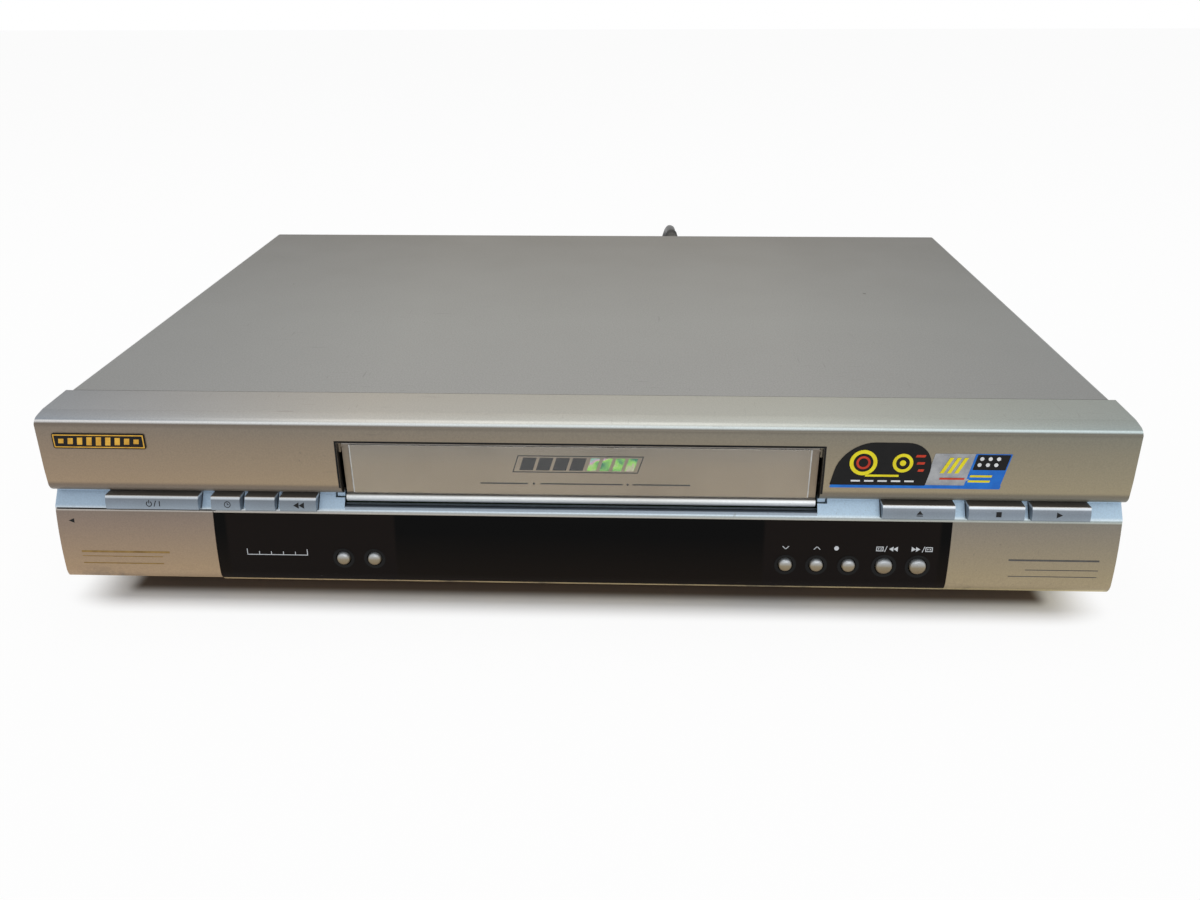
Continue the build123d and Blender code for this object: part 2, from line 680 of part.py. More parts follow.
with BuildPart() as clutch_pulley:
    upright(clutch_pulley_radius, *clutch_at, (pulley_z[0], 17.0))
    upright(clutch_shaft, *clutch_at, (pulley_z[0], deck_z[1] + 5.0))
    upright(9.0, *clutch_at, (deck_z[1] + gap, deck_z[1] + 3.0))
save(clutch_pulley, "clutch_pulley")

belt_gap = 0.1
belt_thickness = 0.9
with BuildPart() as drive_belt:
    with BuildSketch(Plane.XY.offset(pulley_z[0] + 0.4)):
        with BuildLine():
            CenterArc((capstan_x, capstan_y), capstan_pulley + belt_gap + belt_thickness, 0, 360)
            CenterArc(clutch_at, clutch_pulley_radius + belt_gap + belt_thickness, 0, 360)
        make_hull()
    extrude(amount=1.6)
    with BuildSketch(Plane.XY.offset(pulley_z[0] + 0.4)):
        with BuildLine():
            CenterArc((capstan_x, capstan_y), capstan_pulley + belt_gap, 0, 360)
            CenterArc(clutch_at, clutch_pulley_radius + belt_gap, 0, 360)
        make_hull()
    extrude(amount=1.6, mode=Mode.SUBTRACT)
save(drive_belt, "drive_belt")

# Reel tables that carry the cassette's two reels
def reel(name, side):
    with BuildPart() as table:
        upright(17.0, side * reel_x, reel_y, (deck_z[1] + gap, deck_z[1] + 3.0))
        upright(10.0, side * reel_x, reel_y, (deck_z[1] + 3.0, deck_z[1] + 6.0))
        upright(4.2, side * reel_x, reel_y, (deck_z[1] + 6.0, deck_z[1] + 15.0))
        upright(reel_shaft, side * reel_x, reel_y, (18.0, deck_z[1] + 3.0))
        with Locations((side * reel_x, reel_y, deck_z[1] + 9.0)):
            with PolarLocations(4.6, 3):
                Box(2.4, 1.6, 6.0)
    save(table, name)


reel("supply_reel", -1)
reel("take_up_reel", 1)

# Tape guides: a sled on the deck with a keel in its slot and a roller post
def tape_guide(name, side):
    at = (side * guide_start[0], guide_start[1])
    with BuildPart() as guide:
        upright(5.5, *at, (deck_z[1] + gap, deck_z[1] + 4.0))
        upright(keel_radius, *at, (deck_z[0] - 1.2, deck_z[1] + 1.0))
        upright(2.0, *at, (deck_z[1] + 4.0, deck_z[1] + 23.0))
        upright(3.0, *at, (deck_z[1] + 6.0, deck_z[1] + 21.0))
    save(guide, name)


tape_guide("supply_guide", -1)
tape_guide("take_up_guide", 1)

# Pinch arm on its pivot post, with the rubber roller on a pin at its end
arm_z = (30.0, 32.0)
with BuildPart() as pinch_arm:
    with BuildSketch(Plane.XY.offset(arm_z[0])):
        with Locations(Location((*arm_pivot, 0), (0, 0, arm_rest_angle))):
            with Locations((arm_length / 2, 0)):
                SlotCenterToCenter(arm_length, 9.0)
    extrude(amount=arm_z[1] - arm_z[0])
    upright(4.5, *arm_pivot, (arm_z[0], arm_z[1] + 4.0))
    upright(2.5 + shaft_fit, *arm_pivot, (arm_z[0] - 1.0, 60.0), Mode.SUBTRACT)
    upright(1.5, *roller_at, (arm_z[0], 47.0))
save(pinch_arm, "pinch_arm")

with BuildPart() as pinch_roller:
    upright(roller_radius, *roller_at, (arm_z[1] + gap, 46.0))
    upright(1.5 + shaft_fit, *roller_at, (arm_z[1] - 1.0, 60.0), Mode.SUBTRACT)
save(pinch_roller, "pinch_roller")

# Heads and fixed posts along the tape path
with BuildPart() as tape_heads:
    block((54.0, 62.0), (face_y + 188.0, face_y + 194.0), (deck_z[1], 46.0))
    block((-58.0, -50.0), (face_y + 170.0, face_y + 176.0), (deck_z[1], 44.0))
save(tape_heads, "tape_heads")

with BuildPart() as guide_posts:
    for post_x, post_y in ((-66.0, 170.0), (54.0, 170.0), (-78.0, 174.0)):
        upright(2.0, post_x, face_y + post_y, (deck_z[1], 46.0))
        upright(3.4, post_x, face_y + post_y, (deck_z[1], deck_z[1] + 5.0))
save(guide_posts, "guide_posts")

# Spur gears with straight-flanked teeth and backlash
def spur_gear(teeth, at, z, phase):
    pitch_radius = tooth_module * teeth / 2
    root_radius = pitch_radius - 1.2 * tooth_module
    tip_radius = pitch_radius + 0.8 * tooth_module
    half_root = pi * tooth_module * 0.30
    half_tip = pi * tooth_module * 0.12
    with BuildSketch(Plane.XY.offset(z[0])) as gear_outline:
        with Locations(at):
            Circle(root_radius)
        with Locations(Location((*at, 0), (0, 0, phase))):
            with PolarLocations(0, teeth):
                Polygon(
                    (root_radius - 0.4, -half_root),
                    (tip_radius, -half_tip),
                    (tip_radius, half_tip),
                    (root_radius - 0.4, half_root),
                    align=None,
                )
    extrude(gear_outline.sketch, amount=z[1] - z[0])


gear_z = (46.2, 49.4)
motor_z = (deck_z[1], 43.0)
with BuildPart() as loading_motor:
    upright(11.0, *motor_at, motor_z)
    upright(3.0, *motor_at, (motor_z[1], motor_z[1] + 1.5))
    upright(1.0 + shaft_fit, *motor_at, (motor_z[0] + 4.0, 60.0), Mode.SUBTRACT)
save(loading_motor, "loading_motor")

with BuildPart() as loading_pinion:
    spur_gear(pinion_teeth, motor_at, gear_z, mode_angle)
    upright(1.0, *motor_at, (motor_z[0] + 5.0, gear_z[1] + 0.6))
save(loading_pinion, "loading_pinion")

with BuildPart() as mode_gear:
    spur_gear(mode_teeth, mode_at, gear_z, mode_angle + 180 + 180 / mode_teeth)
    upright(4.0, *mode_at, (gear_z[0], gear_z[1] + 1.0))
    upright(mode_shaft + shaft_fit, *mode_at, (gear_z[0] - 1.0, gear_z[1] + 2.0), Mode.SUBTRACT)
save(mode_gear, "mode_gear")

# Cassette carriage: fixed side frames, a sled that runs in them and the holder that drops in the sled
holder_x = 94.6
sheet = 1.0
frame_inner_x = holder_x + sheet + side_gap + 1.3 + side_gap
frame_z = (deck_z[1], 74.0)
frame_y = (face_y + 32.0, face_y + 170.0)
carriage_travel = 62.0
carriage_drop = 19.0
holder_y = (face_y + 34.0, face_y + 104.0)
holder_z = (41.5, 68.9)
sled_x = (holder_x + sheet + side_gap, frame_inner_x - side_gap)
sled_y = (face_y + 50.0, face_y + 92.0)
sled_z = (44.0, 72.0)
runner_radius = 1.6
runner_z = 58.0
runner_places = (sled_y[0] + 6.0, sled_y[1] - 6.0)
drop_pin_radius = 1.5
drop_pin_y = sum(sled_y) / 2
drop_pin_z = 66.0
with BuildPart() as carriage_frame:
    for side in (-1, 1):
        plate_x = sorted((side * frame_inner_x, side * (frame_inner_x + sheet)))
        block(plate_x, frame_y, frame_z)
        block(
            (plate_x[0] - 1.0, plate_x[1] + 1.0),
            (
                runner_places[0] - runner_radius - gap,
                runner_places[1] + carriage_travel + runner_radius + gap,
            ),
            grown((runner_z, runner_z), runner_radius + gap),
            Mode.SUBTRACT,
        )
    block(
        (-frame_inner_x - sheet, frame_inner_x + sheet),
        (face_y + 60.0, face_y + 96.0),
        (frame_z[1], frame_z[1] + sheet),
    )
save(carriage_frame, "carriage_frame")

with BuildPart() as carriage_sled:
    for side in (-1, 1):
        arm_x = sorted((side * sled_x[0], side * sled_x[1]))
        block(arm_x, sled_y, sled_z)
        block(
            (arm_x[0] - 1.0, arm_x[1] + 1.0),
            grown((drop_pin_y, drop_pin_y), drop_pin_radius + gap),
            (drop_pin_z - carriage_drop - drop_pin_radius - gap, drop_pin_z + drop_pin_radius + gap),
            Mode.SUBTRACT,
        )
        for runner_y in runner_places:
            runner_x = sorted((side * sled_x[1], side * (frame_inner_x + sheet)))
            along_x(runner_radius, runner_x, runner_y, runner_z)
    block((-sled_x[1], sled_x[1]), (sled_y[1] - 12.0, sled_y[1]), (sled_z[1] - 1.6, sled_z[1]))
save(carriage_sled, "carriage_sled")

with BuildPart() as cassette_holder:
    block((-holder_x - sheet, holder_x + sheet), holder_y, (holder_z[1] - sheet, holder_z[1]))
    for side in (-1, 1):
        block(sorted((side * holder_x, side * (holder_x + sheet))), holder_y, holder_z)
        floor_x = sorted((side * (holder_x - 8.0), side * holder_x))
        block(floor_x, holder_y, (holder_z[0], holder_z[0] + sheet))
        along_x(drop_pin_radius, sorted((side * holder_x, side * (sled_x[1] - 0.1))), drop_pin_y, drop_pin_z)
    block(
        (-holder_x + 0.6, holder_x - 0.6),
        (face_y, holder_y[1] + 1.0),
        (holder_z[0] + sheet, 60.0),
        Mode.SUBTRACT,
    )
save(cassette_holder, "cassette_holder")

# Mains lead: a tapered bush through the rear panel, the free lead, its coil and the plug
bush_length = 44.0
lead_radius = lead_diameter / 2
with BuildPart() as strain_relief:
    along_y(bush_radius, lead_x, (rear_panel_y[0] - 6.0, rear_y + 3.0), lead_z)
    along_y(bush_flange, lead_x, (rear_panel_y[1], rear_y + 2.0), lead_z)
    with BuildSketch(Plane.XZ.offset(-(rear_y + 3.0))):
        with Locations((lead_x, lead_z)):
            Circle(bush_radius)
    with BuildSketch(Plane.XZ.offset(-(rear_y + bush_length - 1.0))):
        with Locations((lead_x, lead_z)):
            Circle(lead_radius + 0.7)
    loft()
save(strain_relief, "strain_relief")

lead_start_y = rear_y + bush_length - 1.0
lead_route = [
    (lead_x, lead_start_y, lead_z),
    (lead_x, lead_start_y + 22.0, lead_z),
    (45.0, lead_start_y + 43.0, 62.0),
    (41.0, lead_start_y + 55.0, 43.0),
    (32.0, lead_start_y + 61.0, 22.5),
    (15.0, lead_start_y + 63.5, 8.0),
    (-6.0, lead_start_y + 64.0, lead_radius),
    (-28.0, lead_start_y + 64.0, lead_radius),
]


# Bend radii that leave each run about a tenth of its length straight
def bend_radii(route):
    points = [Vector(*point) for point in route]
    radii = []
    for before, corner, after in zip(points, points[1:], points[2:]):
        turn = (corner - before).get_angle(after - corner)
        run = min((corner - before).length, (after - corner).length)
        radii.append(0.45 * run / tan(radians(turn / 2)))
    return radii


lead_radii = bend_radii(lead_route)
print("lead bend radii", [round(radius, 1) for radius in lead_radii])
with BuildPart() as mains_lead:
    with BuildLine() as lead_path:
        FilletPolyline(*lead_route, radius=lead_radii)
    with BuildSketch(Plane(origin=lead_route[0], z_dir=(0, 1, 0))):
        Circle(lead_radius)
    sweep(path=lead_path.wires()[0])
save(mains_lead, "mains_lead")
lead_length = lead_path.wires()[0].length
lead_section = pi * lead_radius**2
print("lead", round(lead_length, 1), "volume ratio", mains_lead.part.volume / (lead_section * lead_length))

# The put-away length: three turns in, a climb of one layer, and the turns back out over them
turn_pitch = lead_diameter + 0.5
turns = 3
middle_radius = 35.0
outer_radius = middle_radius + turns * turn_pitch / 2
coil_start = Vector(*lead_route[-1])
half_turns = [(outer_radius - step * turn_pitch / 2, 0) for step in range(2 * turns)]
half_turns += [(outer_radius - turns * turn_pitch, turn_pitch)]
half_turns += [(outer_radius - step * turn_pitch / 2, 0) for step in range(2 * turns - 1, 0, -1)]
tail_run = 3 * lead_diameter
tail_drop_radius = 5.2 * lead_diameter
plug_axis_z = 7.0
tail_drop = lead_radius + turn_pitch - plug_axis_z
tail_angle = acos(1 - tail_drop / 2 / tail_drop_radius)
with BuildPart() as lead_coil:
    with BuildLine() as coil_path:
        here = coil_start
        heading = -1
        for radius, climb in half_turns:
            there = here + Vector(0, heading * 2 * radius, climb)
            reach = sqrt(radius**2 + climb**2 / 4)
            halfway = (here + there) / 2 + Vector(heading * reach, 0, 0)
            TangentArc(here, halfway, tangent=(heading, 0, 0))
            TangentArc(halfway, there, tangent=there - here)
            here = there
            heading = -heading
        coil_end = here
        tail = [
            coil_end + Vector(-tail_run, 0, 0),
            coil_end + Vector(-tail_run - tail_drop_radius * sin(tail_angle), 0, -tail_drop / 2),
            coil_end + Vector(-tail_run - 2 * tail_drop_radius * sin(tail_angle), 0, -tail_drop),
        ]
        Line(coil_end, tail[0])
        TangentArc(tail[0], tail[1], tangent=(-1, 0, 0))
        TangentArc(tail[1], tail[2], tangent=(-cos(tail_angle), 0, -sin(tail_angle)))
        Line(tail[2], tail[2] + Vector(-lead_diameter, 0, 0))
    with BuildSketch(Plane(origin=coil_start, z_dir=(-1, 0, 0))):
        Circle(lead_radius)
    sweep(path=coil_path.wires()[0])
save(lead_coil, "lead_coil")
coil_length = coil_path.wires()[0].length
print("coil", round(coil_length, 1), "volume ratio", lead_coil.part.volume / (lead_section * coil_length))

# Least gap of the coil to itself, between points more than half a turn apart along it
coil_wire = coil_path.wires()[0]
samples = 700
apart = int(samples * pi * outer_radius / coil_length / 2)
coil_points = [coil_wire.position_at(step / samples) for step in range(samples + 1)]
least = min(
    (coil_points[i] - coil_points[j]).length
    for i in range(samples + 1)
    for j in range(i + apart, samples + 1)
)
print("coil gap to itself", round(least - lead_diameter, 2))

plug_x = tail[2].X - lead_diameter
plug_y = tail[2].Y
with BuildPart() as mains_plug:
    with BuildSketch(Plane.XY) as plug_outline:
        with BuildLine():
            Polyline(
                (plug_x, plug_y - 4.6),
                (plug_x - 20.0, plug_y - 5.6),
                (plug_x - 32.0, plug_y - 17.0),
                (plug_x - 52.0, plug_y - 17.0),
                (plug_x - 52.0, plug_y + 17.0),
                (plug_x - 32.0, plug_y + 17.0),
                (plug_x - 20.0, plug_y + 5.6),
                (plug_x, plug_y + 4.6),
                close=True,
            )
        make_face()
        fillet(plug_outline.vertices(), 3.0)
    extrude(amount=2 * plug_axis_z)
    for pin_offset in (-9.3, 9.3):
        along_x(2.0, (plug_x - 71.0, plug_x - 50.0), plug_y + pin_offset, plug_axis_z)
save(mains_plug, "mains_plug")
print("lead in all", round(lead_length + coil_length, 1))
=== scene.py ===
from math import acos, cos, pi, radians, sin

import bmesh
import bpy
from mathutils import Matrix, Vector
from mathutils.bvhtree import BVHTree


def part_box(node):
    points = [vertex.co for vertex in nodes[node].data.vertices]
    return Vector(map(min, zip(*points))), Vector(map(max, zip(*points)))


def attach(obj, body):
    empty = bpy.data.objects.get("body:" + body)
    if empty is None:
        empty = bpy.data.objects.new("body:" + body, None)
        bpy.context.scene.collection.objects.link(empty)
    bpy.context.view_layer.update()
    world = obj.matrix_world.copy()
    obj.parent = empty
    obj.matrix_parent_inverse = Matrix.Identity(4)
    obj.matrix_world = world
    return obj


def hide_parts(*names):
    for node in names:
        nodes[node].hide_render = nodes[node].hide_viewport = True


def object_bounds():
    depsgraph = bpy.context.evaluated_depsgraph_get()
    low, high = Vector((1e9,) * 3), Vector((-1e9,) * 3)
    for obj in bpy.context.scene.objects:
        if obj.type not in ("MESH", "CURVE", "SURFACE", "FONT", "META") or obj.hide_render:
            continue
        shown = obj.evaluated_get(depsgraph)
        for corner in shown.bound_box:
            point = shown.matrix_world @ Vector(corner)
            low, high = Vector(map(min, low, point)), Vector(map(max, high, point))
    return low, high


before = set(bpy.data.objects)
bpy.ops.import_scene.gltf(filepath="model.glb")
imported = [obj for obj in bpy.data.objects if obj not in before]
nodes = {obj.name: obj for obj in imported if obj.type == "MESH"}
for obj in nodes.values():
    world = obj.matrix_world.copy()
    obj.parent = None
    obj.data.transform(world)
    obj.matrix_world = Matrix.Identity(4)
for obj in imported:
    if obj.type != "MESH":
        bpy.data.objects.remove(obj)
cadLow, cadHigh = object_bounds()
mm = 0.001
print("frame loaded,", len(nodes), "parts of the recorder")


# Lengths below are millimetres in the frame's own axes; colours are 0 to 255 as a screen shows them

def low(name):
    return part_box(name)[0] / mm


def high(name):
    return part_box(name)[1] / mm


def middle(name):
    return (low(name) + high(name)) / 2


def colour(red, green, blue):
    linear = []
    for part in (red, green, blue):
        part /= 255
        linear.append(part / 12.92 if part <= 0.04045 else ((part + 0.055) / 1.055) ** 2.4)
    return (*linear, 1.0)


def addObject(name, data):
    thing = bpy.data.objects.new(name, data)
    bpy.context.scene.collection.objects.link(thing)
    return thing


# Camera, at the photograph's angle
photoCamera = {
    "place": (20.1, -497.0, 239.45),
    "lens": 29.86,
    "sensor": 36.0,
    "pitch": 25.96,
    "yaw": -1.97,
    "roll": -0.22,
}


def makeCamera(c):
    pitch, yaw, roll = (radians(c[key]) for key in ("pitch", "yaw", "roll"))
    ahead = Vector((sin(yaw) * cos(pitch), cos(yaw) * cos(pitch), -sin(pitch)))
    side = Vector((cos(yaw), -sin(yaw), 0))
    above = side.cross(ahead)
    right = cos(roll) * side + sin(roll) * above
    top = cos(roll) * above - sin(roll) * side
    data = bpy.data.cameras.new("camera")
    data.lens = c["lens"]
    data.sensor_width = c["sensor"]
    data.clip_start, data.clip_end = 0.01, 30.0
    camera = addObject("camera", data)
    turn = Matrix((right, top, -ahead)).transposed().to_4x4()
    camera.matrix_world = Matrix.Translation(Vector(c["place"]) * mm) @ turn
    bpy.context.scene.camera = camera


makeCamera(photoCamera)
print("camera placed")


# Shader helpers

def setInputs(tree, made, inputs):
    for key, value in inputs.items():
        socket = made.inputs[key]
        if isinstance(value, bpy.types.NodeSocket):
            tree.links.new(value, socket)
        elif socket.type == "RGBA" and len(value) == 3:
            socket.default_value = colour(*value)
        else:
            socket.default_value = value


def node(tree, kind, inputs=None, **settings):
    made = tree.nodes.new("ShaderNode" + kind)
    for key, value in settings.items():
        setattr(made, key, value)
    setInputs(tree, made, inputs or {})
    return made


def blendColour(tree, factor, first, second, way="MIX"):
    return node(tree, "Mix", {0: factor, 6: first, 7: second}, data_type="RGBA", blend_type=way).outputs[2]


def sums(tree, operation, first, second=0.0, third=0.0, clamp=False):
    made = node(tree, "Math", {0: first, 1: second, 2: third}, operation=operation, use_clamp=clamp)
    return made.outputs[0]


def times(tree, first, second):
    return sums(tree, "MULTIPLY", first, second)


def spread(tree, value, lowFrom, highFrom, lowTo=0.0, highTo=1.0):
    made = node(tree, "MapRange", {0: value, 1: lowFrom, 2: highFrom, 3: lowTo, 4: highTo})
    return made.outputs[0]


def noise(tree, place, scale, detail, **more):
    return node(tree, "TexNoise", {"Vector": place, "Scale": scale, "Detail": detail, **more}).outputs


def placeOf(tree):
    return node(tree, "TexCoord").outputs["Object"]


def placeParts(tree):
    return node(tree, "SeparateXYZ", {0: placeOf(tree)}).outputs


# Stops pair a place from 0 to 1 with a colour as a screen shows it
def ramp(tree, factor, stops):
    made = node(tree, "ValToRGB", {0: factor})
    marks = made.color_ramp.elements
    while len(marks) < len(stops):
        marks.new(1.0)
    for mark, (place, shade) in zip(marks, stops):
        mark.position = place
        mark.color = colour(*shade)
    return made.outputs[0]


white, black = (1, 1, 1, 1), (0, 0, 0, 1)


def startGroup(name, inputs, **outputs):
    tree = bpy.data.node_groups.new(name, "ShaderNodeTree")
    for label, value in inputs.items():
        kind = "NodeSocketColor" if isinstance(value, tuple) else "NodeSocketFloat"
        tree.interface.new_socket(label, in_out="INPUT", socket_type=kind).default_value = value
    for label, kind in outputs.items():
        tree.interface.new_socket(label, in_out="OUTPUT", socket_type="NodeSocket" + kind)
    given = tree.nodes.new("NodeGroupInput").outputs
    wanted = tree.nodes.new("NodeGroupOutput").inputs
    return tree, given, wanted, placeOf(tree)


def endGroup(tree, wanted, **results):
    for label, value in results.items():
        tree.links.new(value, wanted[label])
    return tree


def useGroup(tree, group, **inputs):
    made = tree.nodes.new("ShaderNodeGroup")
    made.node_tree = group
    setInputs(tree, made, inputs)
    return made.outputs


# Broad drift between two tones, as paint and plastic have from light, age and handling
def makeToneDrift():
    inputs = {"Tone": white, "Second": black, "Scale": 9.0}
    tree, given, wanted, place = startGroup("toneDrift", inputs, Tone="Color")
    drift = spread(tree, noise(tree, place, given["Scale"], 3.0, Roughness=0.55)[0], 0.34, 0.68)
    return endGroup(tree, wanted, Tone=blendColour(tree, drift, given["Tone"], given["Second"]))


# Metal flake in silver paint: tiny lighter and darker specks
def makeFlakes():
    inputs = {"Tone": white, "Amount": 0.1, "Scale": 1800.0}
    tree, given, wanted, place = startGroup("paintFlakes", inputs, Tone="Color", Height="Float")
    speck = noise(tree, place, given["Scale"], 1.0)[0]
    level = spread(tree, speck, 0.3, 0.7, -1.0, 1.0)
    gain = sums(tree, "MULTIPLY_ADD", level, given["Amount"], 1.0)
    grey = node(tree, "CombineColor", {0: gain, 1: gain, 2: gain}).outputs[0]
    return endGroup(tree, wanted, Tone=blendColour(tree, 1.0, given["Tone"], grey, "MULTIPLY"), Height=speck)


# Short rub marks and scratches, in patches and in two directions
def makeRubMarks():
    tree, given, wanted, place = startGroup("rubMarks", {"Scale": 60.0, "Amount": 0.5}, Mask="Float")
    masks = []
    for turn, stretch in ((0.35, (1.0, 14.0, 9.0)), (-0.9, (11.0, 1.0, 8.0))):
        laid = node(tree, "Mapping", {"Vector": place, "Rotation": (0, 0, turn), "Scale": stretch})
        streak = noise(tree, laid.outputs[0], given["Scale"], 2.0)[0]
        masks.append(spread(tree, streak, 0.69, 0.76))
    where = spread(tree, noise(tree, place, 14.0, 2.0)[0], 0.46, 0.62)
    there = times(tree, sums(tree, "MAXIMUM", *masks), where)
    return endGroup(tree, wanted, Mask=times(tree, there, given["Amount"]))


# Zinc spangle: flat crystals of slightly different grey
def makeSpangle():
    inputs = {"Tone": white, "Second": black, "Scale": 160.0}
    tree, given, wanted, place = startGroup(
        "zincSpangle", inputs, Tone="Color", Roughness="Float", Height="Float"
    )
    moved = blendColour(tree, 0.02, place, noise(tree, place, 120.0, 1.0)[1], "ADD")
    crystal = node(tree, "TexVoronoi", {"Vector": moved, "Scale": given["Scale"]})
    grey = node(tree, "SeparateColor", {0: crystal.outputs["Color"]}).outputs[0]
    tone = blendColour(tree, grey, given["Tone"], given["Second"])
    return endGroup(tree, wanted, Tone=tone, Roughness=spread(tree, grey, 0.0, 1.0, 0.28, 0.46), Height=grey)


# Fine moulded grain with slight gloss changes
def makeMouldGrain():
    inputs = {"Scale": 1200.0, "Gloss": 0.5, "Change": 0.1}
    tree, given, wanted, place = startGroup("mouldGrain", inputs, Height="Float", Roughness="Float")
    grain = noise(tree, place, given["Scale"], 2.0, Roughness=0.6)[0]
    level = spread(tree, noise(tree, place, 26.0, 3.0)[0], 0.3, 0.7, -1.0, 1.0)
    rough = sums(tree, "MULTIPLY_ADD", level, given["Change"], given["Gloss"], True)
    return endGroup(tree, wanted, Height=grain, Roughness=rough)


# Dust that settles on what faces up
def makeDust():
    inputs = {"Tone": white, "Dust": (0.4, 0.38, 0.34, 1), "Amount": 0.2}
    tree, given, wanted, place = startGroup("settledDust", inputs, Tone="Color")
    facing = node(tree, "NewGeometry").outputs["Normal"]
    upward = node(tree, "SeparateXYZ", {0: facing}).outputs[2]
    cloud = spread(tree, noise(tree, place, 45.0, 4.0)[0], 0.35, 0.7)
    amount = times(tree, times(tree, spread(tree, upward, 0.3, 1.0), cloud), given["Amount"])
    return endGroup(tree, wanted, Tone=blendColour(tree, amount, given["Tone"], given["Dust"]))


# Small scattered dark specks of dirt, each in its own cell
def makeSpecks():
    inputs = {"Scale": 60.0, "Size": 0.05, "Share": 0.15}
    tree, given, wanted, place = startGroup("dirtSpecks", inputs, Mask="Float")
    moved = blendColour(tree, 0.0016, place, noise(tree, place, 700.0, 2.0)[1], "ADD")
    cells = node(tree, "TexVoronoi", {"Vector": moved, "Scale": given["Scale"]})
    chance = node(tree, "SeparateColor", {0: cells.outputs["Color"]}).outputs
    near = sums(tree, "LESS_THAN", cells.outputs["Distance"], times(tree, given["Size"], chance[1]))
    picked = sums(tree, "LESS_THAN", chance[0], given["Share"])
    return endGroup(tree, wanted, Mask=times(tree, near, picked))


toneDrift = makeToneDrift()
dirtSpecks = makeSpecks()
paintFlakes = makeFlakes()
rubMarks = makeRubMarks()
zincSpangle = makeSpangle()
mouldGrain = makeMouldGrain()
settledDust = makeDust()


made = {}


def newMaterial(name, **sockets):
    material = bpy.data.materials.new(name)
    material.use_nodes = True
    shader = material.node_tree.nodes["Principled BSDF"]
    for label, value in sockets.items():
        shader.inputs[label.replace("_", " ")].default_value = value
    made[name] = material
    return material.node_tree, shader


def wire(tree, shader, tone, roughness):
    tree.links.new(tone, shader.inputs["Base Color"])
    tree.links.new(roughness, shader.inputs["Roughness"])


def bump(tree, shader, height, strength, distance):
    made = node(tree, "Bump", {"Height": height, "Strength": strength, "Distance": distance * mm})
    tree.links.new(made.outputs[0], shader.inputs["Normal"])


# Plain plastics, metals and boards: tone, second tone, gloss, its change, grain scale, depth, dust, metallic
finishes = {
    "blackPlastic": ((26, 26, 27), (38, 37, 36), 0.5, 0.09, 1500.0, 0.05, 0.12),
    "blackRubber": ((22, 22, 22), (36, 35, 33), 0.78, 0.1, 2200.0, 0.09, 0.3),
    "leadSheath": ((24, 24, 25), (34, 33, 33), 0.46, 0.1, 900.0, 0.04, 0.12),
    "screwBlack": ((44, 43, 42), (66, 64, 60), 0.36, 0.12, 2600.0, 0.04, 0.05, 0.75),
    "nickel": ((196, 192, 182), (172, 166, 154), 0.24, 0.1, 2400.0, 0.02, 0.05, 1.0),
    "brass": ((196, 162, 92), (168, 130, 70), 0.28, 0.1, 2000.0, 0.02, 0.05, 1.0),
    "shaftSteel": ((184, 184, 186), (150, 150, 152), 0.2, 0.08, 2600.0, 0.02, 0.04, 1.0),
    "aluminium": ((196, 197, 199), (172, 173, 176), 0.34, 0.1, 2600.0, 0.03, 0.08, 0.95),
    "whitePlastic": ((226, 222, 208), (208, 202, 184), 0.42, 0.08, 1400.0, 0.03, 0.2),
    "tinnedSteel": ((178, 178, 174), (146, 146, 142), 0.34, 0.12, 500.0, 0.03, 0.18, 0.9),
    "capacitorSleeve": ((34, 40, 66), (24, 28, 46), 0.34, 0.08, 1200.0, 0.03, 0.3),
    "coreIron": ((84, 80, 76), (58, 54, 50), 0.56, 0.12, 700.0, 0.1, 0.3, 0.4),
    "displayGlass": ((30, 36, 38), (44, 52, 52), 0.12, 0.05, 900.0, 0.01, 0.06),
}


def makeFinish(name, tone, second, gloss, change, scale, depth, dust, metallic=0.0):
    tree, shader = newMaterial(name, Metallic=metallic)
    drift = useGroup(tree, toneDrift, Tone=tone, Second=second, Scale=38.0)
    dusty = useGroup(tree, settledDust, Tone=drift["Tone"], Amount=dust)
    grain = useGroup(tree, mouldGrain, Scale=scale, Gloss=gloss, Change=change)
    wire(tree, shader, dusty["Tone"], grain["Roughness"])
    bump(tree, shader, grain["Height"], 0.6, depth)


for name, values in finishes.items():
    makeFinish(name, *values)


# Silver paint shared by the cover, front and keys: drift, flake, rub marks and fine bump
def silverCoat(tree, shader, tone, p):
    flakes = useGroup(tree, paintFlakes, Tone=tone, Amount=p["flake"], Scale=p["flakeScale"])
    rubs = useGroup(tree, rubMarks, Scale=p["rubScale"], Amount=p["rub"])
    worn = blendColour(tree, rubs["Mask"], flakes["Tone"], p["rubTone"])
    if "specks" in p:
        specks = useGroup(tree, dirtSpecks, Scale=p["speckScale"], Size=p["speckSize"], Share=p["specks"])
        worn = blendColour(tree, specks["Mask"], worn, p["speckTone"])
    grain = useGroup(tree, mouldGrain, Scale=p["flakeScale"], Gloss=p["gloss"], Change=p["change"])
    wire(tree, shader, worn, grain["Roughness"])
    height = sums(tree, "SUBTRACT", flakes["Height"], rubs["Mask"])
    bump(tree, shader, height, 0.5, p["depth"])


coverPaint = {
    "tone": (143, 142, 138), "second": (141, 140, 136), "drift": 4.0, "flake": 0.09, "flakeScale": 1500.0,
    "rub": 0.5, "rubScale": 55.0, "rubTone": (104, 100, 96), "gloss": 0.42, "change": 0.015, "depth": 0.03,
    "metallic": 0.35,
    "specks": 0.16, "speckScale": 42.0, "speckSize": 0.045, "speckTone": (66, 60, 56),
    # painted shade: the cover darker towards the back and towards both sides
    "alongPaintedShade": [(0.0, (255, 255, 255)), (0.35, (245, 245, 242)), (1.0, (190, 184, 172))],
    "sidePaintedShade": [(0.0, (220, 222, 225)), (0.3, (255, 255, 255)), (0.7, (255, 255, 255)), (1.0, (220, 223, 225))],
}


